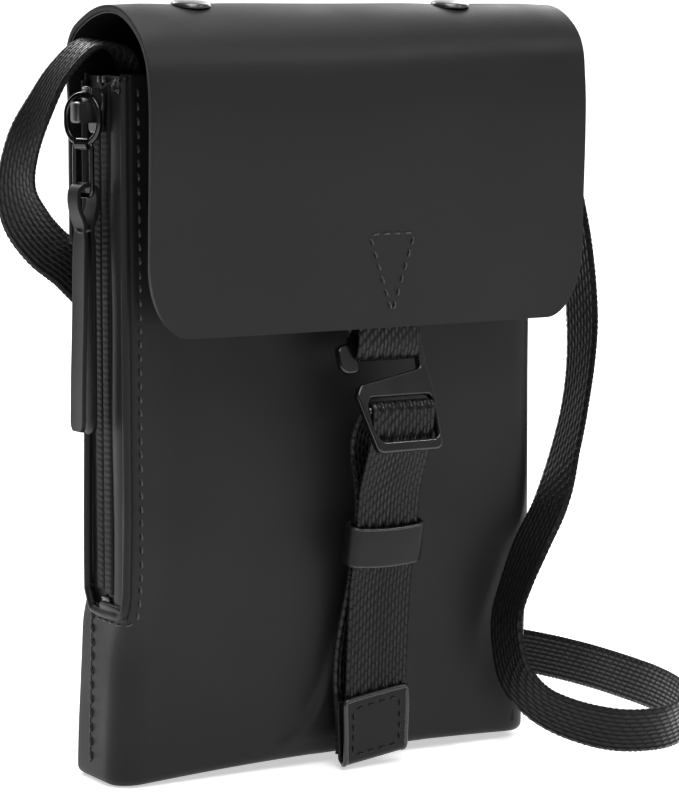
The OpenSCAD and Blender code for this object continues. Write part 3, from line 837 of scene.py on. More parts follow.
def stitches(
    name, row, pitch=3.75, length=2.5, radius=0.36, body="pouch", seed=1, proud=0.2, material=THREAD
):
    """Lockstitches along a row of (point, normal) pairs: short threads that dive in at both ends."""
    path, normals = (np.array(column, float) for column in zip(*row))
    s = arc_lengths(path)

    def along(values, distance):
        return np.array([np.interp(distance, s, values[:, k]) for k in range(3)])

    count = int(s[-1] / pitch)
    verts, faces = [], []
    draws = np.random.default_rng(seed)
    for i in range(count):
        mid = (i + 0.5) * s[-1] / count + draws.normal(0, 0.06)
        a, b = along(path, max(0, mid - length / 2)), along(path, min(s[-1], mid + length / 2))
        n = unit(along(normals, mid))
        t = unit(b - a)
        lean = math.radians(SLANT + draws.normal(0, 1.5))
        t = t * math.cos(lean) + np.cross(n, t) * math.sin(lean)
        w = np.cross(n, t)
        faces += [tuple(len(verts) + v for v in face) for face in tube_faces(ALONG_N + 1, RING_N)]
        for j in range(ALONG_N + 1):
            u = -1 + 2 * j / ALONG_N
            fat = max(radius * (1 - abs(u) ** 3) ** 0.5 * (1 + 0.08 * math.sin(9 * u + i)), 0.04)
            lift = proud + 0.12 - 0.55 * abs(u) ** 2.5
            c = (a + b) / 2 + t * (u * length / 2) + n * lift
            verts += [c + w * side + n * up for side, up in ring_section(fat, RING_N)]
    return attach(piece(name, verts, faces, material), body)


def on_front(x, z):
    """Where the shell is met from the front."""
    return on_shell((x, -80, z), (0, 1, 0))


def on_left(y, z):
    """Where the shell is met from the left."""
    return on_shell((-120, y, z), (1, 0, 0))


SEW_X, SEW_Z, SEW_Y = -63.0, 46.4, 3.0
front_row = [on_front(SEW_X, z) for z in np.arange(RIM_Z - 3, SEW_Z + 3, -1.0)]
front_row += [on_front(x, z) for x, z in arc((SEW_X - 3, SEW_Z + 3), (3, -3), range(10, 90, 12))]
front_row.append(on_front(SEW_X - 3.0, SEW_Z))
front_row += [on_left(y, SEW_Z) for y in np.arange(-12, SEW_Y - 1, 0.8)]
stitches("front_stitches", hits(front_row), seed=2)
side_row = [on_left(SEW_Y + 1.2 * math.sin(z / 40), z) for z in np.arange(SEW_Z + 2.5, 4.0, -1.0)]
side_row = hits(side_row)
stitches("side_stitches", side_row, seed=3, length=2.9, radius=0.3, proud=0.32)
seam_line = np.array([point + normal * 0.02 + (0, 0.75, 0) for point, normal in side_row])
seam = sweep("side_seam", resample(seam_line, 2.0), ring_section(0.3, 8, 0.2), EDGE)
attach(seam, "pouch")

# ---------------------------------------------------------------- window edge and mouth edge


def window_path():
    """Middle of the window's rolled edge, down the front, round and up the back."""
    front_y = FRONT_BEAD_Y - 2.0
    front = [
        (-66.9, front_y - 0.2 - 1.2 * float(ramp(50, 80, z)), z) for z in np.arange(RIM_Z - 0.6, 54, -3.0)
    ]
    turn = [(-67.2, y, z) for y, z in arc((front_y + 3.5, 52.5), (-3.5, -3.5), range(10, 91, 10))]
    y0, y1 = turn[-1][1] + 1.5, BACK_BEAD_Y - 2.6
    bottom = [
        (-67.6, y, 49.0 - 0.5 * math.sin(math.pi * (y - y0) / (y1 - y0))) for y in np.linspace(y0, y1, 5)
    ]
    back = [
        (-67.2 + 0.6 * float(ramp(60, 120, z)), BACK_BEAD_Y + 0.9, z) for z in np.arange(54, RIM_Z, 3.0)
    ]
    return resample(np.array(front + turn + bottom + back), 1.6)


lip_path = window_path()
inward = np.cross(unit(np.gradient(lip_path, axis=0)), (1.0, 0, 0))
window_lip = sweep("window_edge", lip_path, ring_section(1.3, 16, 1.2), BODY, across=inward)
set_up(window_lip, "pouch", "leather_edge", "window_binding")

mouth_plan = plan_at(RIM_Z, 0.9, straight=(30, 6, 30, 6), steps=6)
mouth = np.array([(x, y, RIM_Z + 0.6) for x, y in mouth_plan])
mouth = np.roll(mouth, -8, axis=0)
mouth = mouth[mouth[:, 0] > -57]
mouth_edge = sweep("mouth_edge", mouth, rounded_rect(1.5, 1.4, 1.2, 4), EDGE, across=(0, 0, 1))
set_up(mouth_edge, "pouch", "leather_edge", "mouth_binding")

# ---------------------------------------------------------------- inside of the pouch
LINING_LOW, LINING_HIGH = cad("lining")
half_x, half_y = (LINING_HIGH[:2] - LINING_LOW[:2]) / 2
LINING_R = 3
bag = []
lining_z = list(np.linspace(LINING_HIGH[2], LINING_LOW[2] + LINING_R, 40))
for z in lining_z + [LINING_LOW[2] + 1.2, LINING_LOW[2] + 0.3]:
    below = max(0, LINING_LOW[2] + LINING_R - z)
    pull_in = LINING_R - math.sqrt(LINING_R**2 - below**2)
    ring = np.array(rounded_rect(half_x - pull_in, half_y - pull_in, 3.5, 5))
    ring = resample(np.vstack([ring, ring[:1]]), 5.0, 70)[:-1]
    ring += (LINING_LOW[:2] + LINING_HIGH[:2]) / 2
    wrinkle = 0.35 * np.sin(ring[:, 0] * 0.35 + z * 0.05) * np.sin(z * 0.07 + ring[:, 0] * 0.1)
    ring[:, 1] += np.where(ring[:, 1] < 0, 1, -1) * np.abs(wrinkle)
    bag.append(np.column_stack([ring, np.full(len(ring), z)]))
bag = np.array(bag)
lining_faces = grid_faces(bag.shape[0], bag.shape[1], close_cols=True)
lining_faces.append(tuple((bag.shape[0] - 1) * bag.shape[1] + j for j in range(bag.shape[1])))
lining = piece("pouch_lining", bag.reshape(-1, 3), lining_faces, LINING)
thick(lining, 0.45, 1, bevel=0)
set_up(lining, "pouch", "lining", "lining")
for node, outward in (("front_stiffener", -1), ("back_stiffener", 1)):
    low, high = cad(node)
    rows = []
    for z in np.linspace(low[2] + 3.2, high[2], 40):
        row = []
        for x in np.linspace(low[0], high[0], 30):
            hit, _ = on_shell((x, 80 * outward, max(z, 3.2)), (0, -outward, 0))
            row.append((x, hit[1] - outward * (BODY_T + 0.35), z))
        rows.append(row)
    board = sheet(f"{node}_board", rows, BOARD)
    thick(board, 0.5, -outward, bevel=0)
    set_up(board, "pouch", "board", node)

for side in ("left", "right"):
    anchor = block(f"strap_anchor_leather_{side}", *cad(f"strap_anchor_{side}"), 0.7, TRIM)
    set_up(anchor, "pouch", "leather_trim", f"strap_anchor_{side}")

# ---------------------------------------------------------------- zip
TAPE_LOW, TAPE_HIGH = cad("zip_tape_front")
TAPE_BACK_LOW, TAPE_BACK_HIGH = cad("zip_tape_back")
FACING_LOW, FACING_HIGH = cad("zip_facing")
ZIP_Y = (TAPE_HIGH[1] + TAPE_BACK_LOW[1]) / 2


def tape_piece(name, y0, y1, node):
    """A coated tape, gently dished between its sewn edge and the coils."""
    rows = []
    for z in np.linspace(TAPE_LOW[2], TAPE_HIGH[2], 60):
        row = []
        for y in np.linspace(y0, y1, 9):
            dish = 0.25 * math.sin(math.pi * (y - y0) / (y1 - y0))
            row.append((TAPE_LOW[0] - 0.5 + dish + 0.06 * math.sin(z * 0.6), y, z))
        rows.append(row)
    obj = sheet(name, rows, TAPE)
    thick(obj, 0.5, 0, bevel=0.12, segments=1)
    return set_up(obj, "pouch", "zip_tape", node)


tape_piece("zip_tape_front_cloth", TAPE_LOW[1], TAPE_HIGH[1], "zip_tape_front")
tape_piece("zip_tape_back_cloth", TAPE_BACK_LOW[1], TAPE_BACK_HIGH[1], "zip_tape_back")


def facing_at(u, z, back=0.0):
    """Leather facing beside the coils, softly crowned from the front edge to them."""
    y = FACING_LOW[1] - 2.2 + u * (FACING_HIGH[1] - FACING_LOW[1] + 2.0)
    crown = 0.6 * math.sin(math.pi * min(1, u * 1.08)) ** 0.7 * math.sin(math.pi * (z - 40) / 180) ** 0.3
    return FACING_LOW[0] + 0.3 - crown + back + 0.1 * math.sin(z * 0.11), y, z


# The facing rolls over at its top
facing_u, facing_top = np.linspace(0, 1, 13), FACING_HIGH[2] - 4
rows = [[facing_at(u, z) for u in facing_u] for z in np.linspace(FACING_LOW[2], facing_top, 70)]
for a in range(15, 181, 15):
    r = math.radians(a)
    rows.append([facing_at(u, facing_top + 1.7 * math.sin(r), 1.5 * (1 - math.cos(r))) for u in facing_u])
facing = sheet("zip_facing_leather", rows, BODY)
thick(facing, 0.9, 0, bevel=0.25, segments=2)
set_up(facing, "pouch", "leather_body", "zip_facing")
# Its top corner curls over in a polished C, and a folded foot closes the window's lower end
curl = [(-68.5, y, z) for y, z in arc((FRONT_BEAD_Y - 3.0, 194.0), (2.7, 1.5), range(105, -106, -15))]
curl_edge = sweep("facing_curl", resample(np.array(curl), 0.5), ring_section(0.55, 10), POLISHED)
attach(curl_edge, "pouch")
window_foot = block("window_foot", (-68.1, FRONT_BEAD_Y - 0.6, 48.6), (-65.9, -1.8, 51.8), 0.9, EDGE, 4)
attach(window_foot, "pouch")

COIL_LOW, COIL_HIGH = cad("coil_front")
COIL_BACK_LOW, COIL_BACK_HIGH = cad("coil_back")
COIL_PITCH = 1.7


def coil_piece(name, low, high, flip, node):
    """One row of the zip: a coil under coated tape, showing only as shallow slanting ribs."""
    cx, half_x = (low[0] + high[0]) / 2, (high[0] - low[0]) / 2
    rows = []
    for z in np.arange(low[2], high[2], 0.17):
        row = []
        for u in np.linspace(0, 1, 11):
            swell = (1 - abs(2 * u - 1) ** 4) ** 0.5
            rib = math.cos(2 * math.pi * (z / COIL_PITCH + 0.22 * flip * u + 0.25 * flip))
            x = cx + half_x * (0.2 - 0.6 * swell) - 0.05 * swell * rib
            row.append((x, low[1] + u * (high[1] - low[1]), z))
        rows.append(row)
    obj = thick(sheet(name, rows, COIL), 0.5, -1, bevel=0)
    return set_up(obj, "pouch", "zip_coil", node)


coil_piece("zip_coil_front", COIL_LOW - (0, 1.7, 0), COIL_HIGH + (0, 0.5, 0), 1, "coil_front")
coil_piece("zip_coil_back", COIL_BACK_LOW - (0, 0.5, 0), COIL_BACK_HIGH + (0, 1.7, 0), -1, "coil_back")

low, high = cad("zip_bottom_stop")
set_up(block("zip_bottom_stop_metal", low, high, 0.35, GUN), "pouch", "metal_gun", "zip_bottom_stop")
low, high = cad("zip_top_stops")
stops = [
    block("stop_a", low, (high[0], low[1] + 1.4, high[2]), 0.3, GUN),
    block("stop_b", (low[0], high[1] - 1.4, low[2]), high, 0.3, GUN),
]
set_up(joined("zip_top_stops_metal", stops), "pouch", "metal_gun", "zip_top_stops")

# ---------------------------------------------------------------- flap
# Outer face of the flap seen from the side: up the back, over the roll, down the front
FLAP_PROFILE = [
    (12.9, 150), (12.9, 168), (12.9, 186), (13.2, 190), (13.9, 197), (13.4, 203.5), (9.5, 209.3),
    (1.5, 213.3), (-6, 215.4), (-13.3, 216), (-19.5, 215.2), (-25, 213), (-30.4, 209.2), (-34.4, 204.6),
    (-36.9, 199), (-38, 190), (-38, 178), (-37.4, 160), (-37, 145), (-36.6, FLAP_EDGE_Z),
]
SEAM_Z, YOKE_SEW_S = 200.0, 4.0
CORNER_ACROSS, CORNER_UP = 12.0, 20.0
RIVETS = [(FLAP_X - 47.3, -17.2), (FLAP_X + 35.4, -17.2)]
RIVET_Z, RIVET_LEAN = 215.5, math.radians(7)
SIDE_STEPS = 16
side_view = smooth_path(np.array(FLAP_PROFILE, float), SIDE_STEPS)
side_s = arc_lengths(side_view)
# The first five spans only rise, so a height there means one place
rising = SIDE_STEPS * 5
seam_s = np.interp(SEAM_Z, side_view[:rising, 1], side_s[:rising])


def flap_at(s, u, depth=0.0, inset=0.0):
    """Points of the flap: s along the side view, u from -1 at the right end to 1 at the left."""
    s, u = np.broadcast_arrays(np.asarray(s, float), np.asarray(u, float))
    y, z = (np.interp(s, side_s, side_view[:, k]) for k in (0, 1))
    ty, tz = (np.interp(s, side_s, np.gradient(side_view[:, k], side_s)) for k in (0, 1))
    size = np.hypot(ty, tz)
    ny, nz = tz / size, -ty / size
    left = side_s[-1] - s
    lift = np.clip(1 - left / CORNER_UP, 0, 1)
    half = FLAP_HALF - inset - CORNER_ACROSS * (1 - np.sqrt(1 - lift**2))
    x = FLAP_X - u * half
    front = np.clip(-ny, 0, 1)
    back_off = 3.0 * ramp(-25, 78, x) * front * ramp(216, 195, z)
    sag = 0.16 * np.sin(x * 0.045 + 1.1) * np.sin(s * 0.035) + 0.1 * np.sin(x * 0.1 + s * 0.06)
    droop = -0.35 * ramp(60, 71, np.abs(x - FLAP_X)) * ramp(205, 214, z)
    dents = [np.exp(-((x - rx) ** 2 + (y - ry) ** 2) / 60) for rx, ry in RIVETS]
    pressed = 0.4 * sum(dents) * ramp(206, 214, z)
    out = sag * 0.6 + droop - pressed - depth
    return np.stack([x, y + ny * out + back_off, z + nz * out], -1)


def flap_rows(low, high, step, inset=0.0):
    """Stations along the flap, close together where its corners turn."""
    end = side_s[-1] - inset
    reach = CORNER_UP - inset
    turn_s = [side_s[-1] - CORNER_UP + reach * math.sin(math.radians(a)) for a in range(0, 91, 6)]
    plain = np.arange(low, min(high, turn_s[0]) - step / 2, step)
    return np.concatenate([plain, turn_s]) if high >= end else np.append(plain, high)


across_u = np.concatenate([[-1, -0.992, -0.975], np.linspace(-0.95, 0.95, 62), [0.975, 0.992, 1]])


def flap_piece(name, low, high, depth, thickness, inset, material, bevel, step=1.5):
    """A sheet of the flap between two places on its side view, some way under its outer face."""
    s = flap_rows(low, high, step, inset)
    obj = sheet(name, flap_at(s[:, None], across_u[None], depth, inset), material)
    return thick(obj, thickness, -1, bevel=bevel)


flap_end = side_s[-1] + 1
flap = flap_piece("flap_leather", seam_s, flap_end, 0.0, 1.5, 0.0, FLAP, 0.4)
on_flap = caster(flap)
set_up(flap, "flap", "leather_flap", "flap_panel")
flap_back = flap_piece("flap_lining_leather", seam_s + 0.6, flap_end, 1.52, 0.65, 0.25, EDGE, 0.25, 2.4)
set_up(flap_back, "flap", "lining", "flap_lining")

# The strip up the back of the pouch, as far as the seam
strip = flap_piece("flap_back_strip", 0.0, seam_s + 0.05, 0.0, 1.75, 0.0, FLAP, 0.3, 1.0)
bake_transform(strip)
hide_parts("flap_yoke")
yoke_x = np.arange(FLAP_X - FLAP_HALF + 4, FLAP_X + FLAP_HALF - 3.9, 1.5)
yoke_row = [(flap_at(YOKE_SEW_S, (FLAP_X - x) / FLAP_HALF), (0.0, 1.0, 0.0)) for x in yoke_x]
stitches("yoke_stitches", yoke_row, pitch=3.9, length=2.9, seed=5)
triangle = [(-1.5, 153.0), (13.3, 153.0), (6.2, 131.0), (-1.5, 153.0)]
for k in range(3):
    row = hits_between(on_flap, triangle[k], triangle[k + 1], np.linspace(0.02, 0.98, 24))
    stitches(f"triangle_stitches_{k}", row, pitch=3.3, radius=0.3, body="flap", seed=20 + k)


def lathe(name, outline, material, height, segments=40):
    """Turns (radius, z) points about the vertical axis, from a height up."""
    rings = [[(x, y, z + height) for x, y in ring_section(r, segments)] for r, z in outline]
    obj = tube(name, rings, material)
    obj.data.set_sharp_from_angle(angle=math.radians(50))
    return obj


def at_rivet(obj, rx, ry):
    """Moves a piece made at the origin onto a rivet's place, square to the flap there."""
    place = Matrix.Translation((rx * MM, ry * MM, RIVET_Z * MM))
    obj.data.transform(place @ Matrix.Rotation(RIVET_LEAN, 4, "X"))
    return obj


dome = [(5.1, 0.0), (5.5, 0.12), (5.52, 0.4), (5.3, 0.75)]
dome += arc((0, 0.8), (5.2, 0.95), range(10, 86, 9)) + [(0.2, 1.76)]
shank = [(1.45, 0), (1.5, 0.1), (1.5, 3.7)]
washer = [(1.56, 0), (4.3, 0), (4.5, 0.2), (4.5, 0.55), (4.2, 0.8), (1.56, 0.8), (1.56, 0)]
heads, washers = [], []
for k, (rx, ry) in enumerate(RIVETS):
    heads.append(at_rivet(lathe(f"rivet_head_{k}", dome, GUN, -0.3), rx, ry))
    heads.append(at_rivet(lathe(f"rivet_post_{k}", shank, GUN, -3.6, 20), rx, ry))
    washers.append(at_rivet(lathe(f"washer_{k}", washer, GUN, -3.3, 32), rx, ry))
set_up(joined("rivet_caps", heads), "flap", "metal_gun", "flap_rivets")
set_up(joined("rivet_washer_rings", washers), "flap", "metal_gun", "rivet_washers")

low, high = cad("flap_patch")
patch = block("flap_patch_leather", low, high, 0.3, TRIM, 2)
set_up(patch, "flap", "leather_trim", "flap_patch")

# ---------------------------------------------------------------- closure webbing, loop, hook and keeper
LOOP_PATH = [
    (-34.4, 152), (-34.4, 136), (-34.5, 125), (-34.1, 121), (-32.8, 118.6), (-30.7, 117.9), (-28.4, 118.8),
    (-27.4, 121.5), (-27.9, 125), (-29.8, 130), (-32.2, 135.5), (-32.95, 141), (-32.95, 152),
]
loop_line = resample(smooth_path(np.array([(LOOP_X, y, z) for y, z in LOOP_PATH], float), 8), 0.5)
loop_path = np.column_stack([loop_line, np.tile([1.0, 0, 0], (len(loop_line), 1))])
CLOSURE_WEAVE = (18, 3.0, CLOSURE_WEB, 3)
loop_band = woven_band("loop_band", loop_path, WEB_W, 1.25, *CLOSURE_WEAVE, relief=0.17)
set_up(loop_band, "flap", "webbing", "loop_webbing")

BAR_R, WEB_T = 1.2, 1.45
WRAP_R = BAR_R + 0.05 + WEB_T / 2
REAR = [
    (-18.6, 4), (-18.6, 20), (-19.4, 36), (-22.9, 52), (-25.0, 61), (-27.0, 70), (-27.9, 77),
    (-26.8, 84), (-25.2, 90), (-25.8, 96), (-30, 102.6),
]
TAIL = [
    (-37.6, 100), (-36.8, 96.5), (-35.0, 92), (-32.4, 86), (-30.4, 81), (-29.6, 77), (-28.5, 70),
    (-26.6, 60), (-24.9, 52), (-23.8, 40), (-22.8, 26), (-22.4, 14), (-22.4, 5),
]
wrap = arc((BAR[1], BAR[2]), (WRAP_R, WRAP_R), range(75, 196, 15))
rear = smooth_path(np.array(REAR, float), 8)
loop_yz = np.vstack([rear, wrap, smooth_path(np.array(TAIL, float), 8)])
# The rear strand wanders off to the left on its way down, and twists a little
swing = ramp(58, 26, rear[:, 1]) * (0.4 + 0.6 * ramp(12, 26, rear[:, 1]))
swing = np.concatenate([swing, np.zeros(len(loop_yz) - len(rear))])
web_line = np.column_stack([CLOSURE_X - 2.6 * swing, loop_yz[:, 0], loop_yz[:, 1], swing])
web_line = resample(web_line, 0.5)
swing = web_line[:, 3]
web_across = np.column_stack([np.cos(-0.04 * swing), 0.12 * swing, np.sin(-0.04 * swing)])
web_path = np.column_stack([web_line[:, :3], web_across])
webbing = woven_band("closure_band", web_path, WEB_W, WEB_T, *CLOSURE_WEAVE, relief=0.2)
set_up(webbing, "pouch", "webbing", "closure_webbing")

PLATE_T = 2.6
# Outlines of the hook as (x, z, corner radius): its frame, its arm's tab, and the slot round the bar
frame_line = [
    (7.6, 15.8, 0.6), (7.6, 11.2, 0.8), (-12.2, 7.4, 2.6), (-13.9, 4.6, 2.0), (-9.6, -12.1, 2.2),
    (11.2, -12.1, 2.2), (11.1, 5.0, 4.0), (10.0, 12.0, 2.5), (9.7, 20.5, 2.2),
]
tab_line = [
    (-12.5, 20.5, 1.5), (-13.5, 19.3, 1.5), (-17.6, 19.0, 2.6), (-17.6, 10.8, 3.0), (-11.9, 10.8, 1.8),
    (-11.9, 15.8, 0.5),
]
hook_line = fillet(frame_line + tab_line, 6)
slot_line = [(-10.5, 3.6, 1.4), (10.15, 3.6, 1.6), (10.2, -8.9, 1.2), (-7.9, -8.9, 1.4), (-10.3, -5.4, 3.0)]


def lean_back(p):
    """From the hook's own plane to the row frame, leaning back at the top."""
    c, s = math.cos(HOOK_LEAN), math.sin(HOOK_LEAN)
    return BAR + np.column_stack([p[:, 0], p[:, 1] * c + p[:, 2] * s, p[:, 2] * c - p[:, 1] * s])


hook_plate = plate("hook_plate", [hook_line, fillet(slot_line)], PLATE_T, 0.6, METAL, lean_back)
bar_line = lean_back(np.array([(x, 0, 0) for x in np.linspace(-11.4, 10.6, 12)]))
bar = sweep("hook_bar", bar_line, ring_section(BAR_R, 20), METAL)
set_up(joined("closure_hook", [hook_plate, bar]), "hook", "metal_dark", "g_hook")

KEEPER_MID = np.array([CLOSURE_X, -26.55, 65.0])
keeper_lean = math.atan(0.2)
plan_line = resample(np.array(rounded_rect(11.45, 2.65, 1.9, 6) + [(11.45, 0.75)]), 0.6)[:-1]
band = rounded_rect(5.5, 0.66, 0.5, 3)
keeper_rings = []
c, s = math.cos(keeper_lean), math.sin(keeper_lean)
for i, (px, py) in enumerate(plan_line):
    a, b = plan_line[i - 1], plan_line[(i + 1) % len(plan_line)]
    t = unit(np.array(b) - np.array(a))
    nx, ny = t[1], -t[0]
    front = ramp(0.5, -2.2, py)
    crown = (1 - (px / 12) ** 2) * front
    ring = []
    for v, w in band:
        x, y, z = px + nx * w, py + ny * w - 0.6 * crown, v + 0.5 - 0.7 * crown
        ring.append(KEEPER_MID + (x, y * c - z * s, y * s + z * c))
    keeper_rings.append(ring)
keeper = tube("keeper_band", keeper_rings, TRIM, closed=True)
set_up(keeper, "keeper", "leather_trim", "keeper")
# Burnished beads along its two rims
band_height = np.array(band)[:, 0]
for name, pick in (("keeper_top_rim", band_height > 4.9), ("keeper_low_rim", band_height < -4.9)):
    rim_line = np.array(keeper_rings)[:, pick].mean(1)
    rim_line = np.vstack([rim_line, rim_line[:1]])
    rim = sweep(name, resample(rim_line, 0.7)[:-1], ring_section(0.62, 10), POLISHED, closed=True)
    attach(rim, "keeper")

# End tab: one strip of leather folded up round the webbing's end
TAB_LOW, TAB_HIGH = cad("end_tab")
tab_mid = (TAB_LOW[0] + TAB_HIGH[0]) / 2
tab_half = (TAB_HIGH[0] - TAB_LOW[0]) / 2
back_y, front_y = -19.7, TAB_LOW[1] + 0.55
mid_y = (back_y + front_y) / 2
fold = [(back_y, TAB_HIGH[2] - 0.8), (back_y, 12), (back_y - 0.1, 5)]
fold += arc((mid_y, 3.4), ((back_y - front_y) / 2, -1.9), range(15, 166, 15))
fold += [(front_y, 6), (front_y - 0.15, 12), (front_y, TAB_HIGH[2])]
fold = resample(smooth_path(np.array(fold, float), 6), 0.7)


def on_tab_face(x, z):
    """The tab stands a little to the left of its CAD box and rises to the right."""
    return tab_mid - 0.9 + 0.95 * x, z + 0.13 * x + 1.4


tab_rows = []
for y, z in fold:
    upper = ramp(2, 19, z)
    row = []
    for u in np.linspace(-1, 1, 24):
        x = u * tab_half * (1 - 0.035 * (1 - upper))
        curl = 0.35 * u**2 * upper * (1 if y > mid_y else -1)
        tab_x, tab_z = on_tab_face(x, z)
        row.append((tab_x, y + curl * 0.5, tab_z - 0.2 * u**4 * upper))
    tab_rows.append(row)
tab = sheet("end_tab_leather", tab_rows, TRIM)
thick(tab, 1.2, 0, bevel=0.5, segments=4)
on_tab = caster(tab)
set_up(tab, "pouch", "leather_trim", "end_tab")
# Rolled and burnished rim round the front leaf
front_rows = [r for r in tab_rows if r[0][1] < mid_y]
rim_line = [r[0] for r in front_rows] + list(front_rows[-1][1:-1]) + [r[-1] for r in front_rows[::-1]]
rim_line = resample(np.array(rim_line) + (0, -0.25, 0), 0.8)
tab_rim = sweep("end_tab_rim", rim_line, ring_section(0.8, 12), POLISHED)
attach(tab_rim, "pouch")
SEW_HALF = tab_half - 2.6
sewn = ((-SEW_HALF, 4.0), (SEW_HALF, 4.0), (SEW_HALF, 17.6), (-SEW_HALF, 17.2))
sewn = [on_tab_face(x, z) for x, z in sewn]
for k in range(4):
    row = hits_between(on_tab, sewn[k], sewn[(k + 1) % 4], np.linspace(0.03, 0.97, 20))
    stitches(f"tab_stitches_{k}", row, pitch=2.9, length=2.2, radius=0.28, seed=30 + k, material=EDGE)

# ---------------------------------------------------------------- zip slider and its chain
CROWN_X, CROWN_Y = -73.2, -3.5
SLIDER_Z = 187.0
UPRIGHT = np.array([0, 0, 1.0])


def chain_ways(yaw):
    """Directions out of the chain's plane and across it."""
    return np.array([math.cos(yaw), math.sin(yaw), 0]), np.array([-math.sin(yaw), math.cos(yaw), 0])


YAW = math.radians(25)
chain_x, chain_y = chain_ways(YAW)


def on_chain(points, z, yaw=YAW):
    """From the chain's own axes (out, across, up) at a height to the row frame."""
    p = np.asarray(points, float)
    out, across = chain_ways(yaw)
    # The chain hangs a little forward of the crown
    origin = np.array([CROWN_X, CROWN_Y, z]) - 1.2 * chain_y
    return origin + p[:, :1] * out + p[:, 1:2] * across + p[:, 2:] * UPRIGHT


coil_out = COIL_LOW[0]
shield_half = [(3.6, -6.0, 1.6), (3.9, -2.0, 3), (4.8, 2.0, 2), (4.6, 5.4, 1.5), (1.6, 5.4, 1)]
shield = fillet(shield_half + [(0, 3.4, 1)] + [(-x, z, r) for x, z, r in shield_half[::-1]])


def face_out(x0):
    """Places a plate square to x, facing outwards."""
    return lambda p: np.column_stack([x0 + p[:, 1], ZIP_Y + p[:, 0], SLIDER_Z + p[:, 2]])


outer_plate = plate("slider_outer", [shield], 1.2, 0.35, GUN, face_out(coil_out - 1.1))
inner_plate = plate("slider_inner", [shield], 1.2, 0.35, GUN, face_out(TAPE_HIGH[0] + 0.9))
post_low = (coil_out - 0.8, ZIP_Y - 0.4, SLIDER_Z - 3)
post_high = (TAPE_HIGH[0] + 0.5, ZIP_Y + 0.4, SLIDER_Z + 3.5)
post = block("slider_post", post_low, post_high, 0.15, GUN, 2)
# Crown: a domed block with a slot for the ring, ribbed across its top
CROWN_MID = ZIP_Y - 1.1
side_line = [
    (-75.5, -3.2, 0.9), (coil_out - 1.2, -3.2, 0.2), (coil_out - 1.2, 6.3, 0.3), (-71.6, 6.3, 0.6),
    (-71.6, 2.6, 0.4), (-74.8, 2.6, 0.4), (-75.5, 2.2, 0.4),
]


def crown_place(p):
    """Places the crown's plate, which stands square to y."""
    return p + (0, CROWN_MID, SLIDER_Z)


crown = plate("slider_crown", [fillet(side_line)], 4.8, 0.55, GUN, crown_place)
ribs = []
for k in range(4):
    z = SLIDER_Z + 3.3 + 0.95 * k
    line = [
        (-71.6 - 0.15 * math.cos(y), CROWN_MID + y, z + 0.25 * math.cos(y * 0.7))
        for y in (-2.1, -1.0, 0, 1.0, 2.1)
    ]
    ribs.append(sweep(f"rib_{k}", smooth_path(np.array(line, float), 5), ring_section(0.36, 8), GUN))
slider = joined("zip_slider_metal", [outer_plate, inner_plate, post, crown] + ribs)
set_up(slider, "zip_slider", "metal_gun", "slider_body")


def wire_loop(name, half_w, corner, wire, height, z):
    """A closed wire ring hanging from a height, in the chain's plane."""
    line = [(0.0, y, up - height / 2) for y, up in rounded_rect(half_w, height / 2, corner, 16)]
    line = resample(np.array(line + line[:1]), 0.45)[:-1]
    return sweep(name, on_chain(line, z), ring_section(wire, 14), METAL, across=chain_x, closed=True)


RING_Z, LINK_Z = 191.4, 178.2
ring_piece = wire_loop("ring_wire", 5.6, 5.6, 0.88, 13.2, RING_Z)
barrel_line = on_chain([(0, y, 0) for y in np.linspace(-2.0, 2.0, 9)], LINK_Z)
barrel = sweep("ring_barrel", barrel_line, ring_section(1.62, 20), METAL)
hole_line = on_chain([(0, y, 0) for y in (-3.0, 0.0, 3.0)], LINK_Z)
hole = sweep("barrel_hole", hole_line, ring_section(0.98, 16), METAL)
cut = barrel.modifiers.new("bore", "BOOLEAN")
cut.operation, cut.object, cut.solver = "DIFFERENCE", hole, "EXACT"
finish_mesh(barrel, 40)
bpy.data.objects.remove(hole)
set_up(joined("zip_ring", [ring_piece, barrel]), "zip_bail", "metal_dark", "bail_ring")
link_piece = wire_loop("zip_wire_link", 2.9, 1.2, 0.73, 14.0, LINK_Z)
set_up(link_piece, "zip_link", "metal_dark", "wire_link")

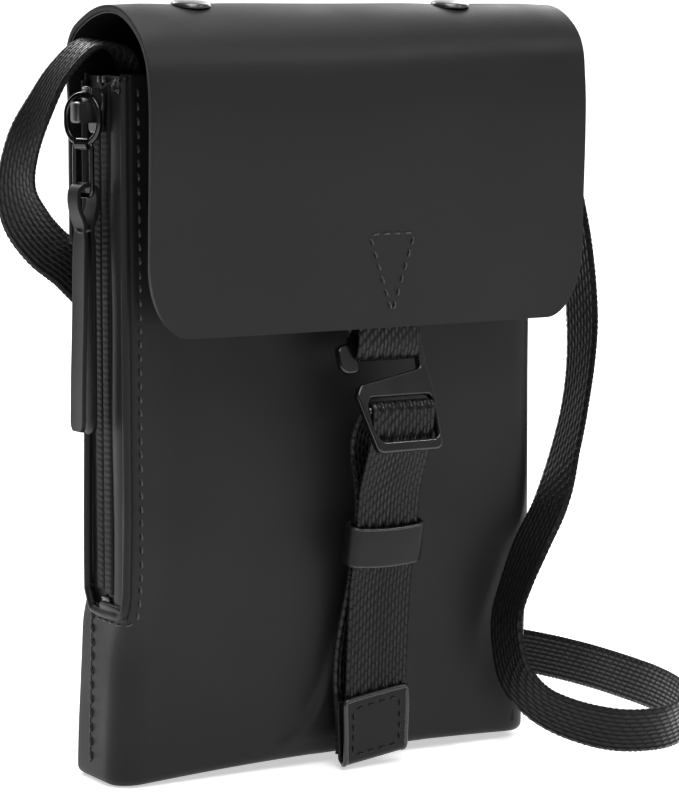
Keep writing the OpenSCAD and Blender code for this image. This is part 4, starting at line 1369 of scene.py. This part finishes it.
# Pull: a strip of leather folded over the link's lower wire, eye open at both sides
PULL_Z, PULL_HALF, PULL_LEN = 164.2, 3.75, 65.3
EYE_R, WAIST_Z = 2.6, -9.6
fold = [
    (-2.3, -PULL_LEN + 0.8), (-2.0, -50), (-1.5, -34), (-1.2, -20), (-1.0, -13), (-0.9, WAIST_Z),
    (-1.3, -7.2), (-2.5, -3.9), (-2.9, -1.2),
]
fold += arc((0, 0.4), (EYE_R * 1.08, EYE_R), range(165, 10, -20))
fold += [
    (2.9, -1.2), (2.5, -3.9), (1.3, -7.2), (0.9, WAIST_Z), (1.0, -13), (1.1, -22), (1.1, -40),
    (1.0, -PULL_LEN),
]
fold = resample(smooth_path(np.array(fold, float), 8), 0.9)
pull_rows = []
for o, z in fold:
    waist = math.exp(-(((z - WAIST_Z) / 1.8) ** 2))
    eye = ramp(-7.0, -3.0, z)
    half = PULL_HALF * (1 - 0.17 * waist - 0.16 * eye)
    tip = np.clip(1 - (z + PULL_LEN) / 3.4, 0, 1)
    half *= math.sqrt(max(0.02, 1 - tip**2)) if tip > 0 else 1
    row = []
    for u in np.linspace(-1, 1, 13):
        cup = 0.1 * u**2 * (1 if o > 0 else -1) * (1 - eye)
        row.append((o + cup, u * half, z))
    pull_rows.append(on_chain(row, PULL_Z, 0.0))
pull = sheet("zip_pull_leather", pull_rows, TRIM)
thick(pull, 1.15, 0, bevel=0.3, segments=3, angle=60)
set_up(pull, "zip_pull", "leather_trim", "leather_pull")
tie_line = []
for k in range(24):
    a = 2 * math.pi * k / 24
    out = 1.75 * math.cos(a) * (1 + 0.15 * math.cos(2 * a))
    tie_line.append((out, 3.35 * math.sin(a), WAIST_Z + 0.25 * math.sin(3 * a)))
tie_line = on_chain(tie_line, PULL_Z, 0.0)
tie = sweep("zip_pull_stitch", tie_line, ring_section(0.33, 8), THREAD, closed=True)
set_up(tie, "zip_pull", "leather_trim")

# ---------------------------------------------------------------- strap adjuster
ADJ = np.array([37.0, 105.0, 10.0])
RAIL_HALF, RAIL_DIP = 9.4, 2.1
section = rounded_rect(1.0, 1.5, 0.7)
parts = []
for k, z in enumerate((-STRAP_W / 2 - 1.55, STRAP_W / 2 + 1.55)):
    rail = []
    for x in np.linspace(-10.6, 10.6, 30):
        dip = 2 * RAIL_DIP * math.cos(math.pi * x / (2 * RAIL_HALF)) ** 2 if abs(x) < RAIL_HALF else 0
        rail.append((x, RAIL_DIP - dip, z))
    parts.append(sweep(f"rail_{k}", ADJ + np.array(rail), section, METAL, across=UPRIGHT))
for k, (x, y) in enumerate(((-RAIL_HALF, RAIL_DIP), (0, -RAIL_DIP), (RAIL_HALF, RAIL_DIP))):
    line = ADJ + np.array([(x, y, z) for z in np.linspace(-STRAP_W / 2 - 1.2, STRAP_W / 2 + 1.2, 6)])
    parts.append(sweep(f"cross_bar_{k}", line, ring_section(1.08, 16), METAL))
set_up(joined("strap_adjuster_metal", parts), "strap_adjuster", "metal_dark", "strap_adjuster")

resample(strap_points[:, :3], 3.0) * MM
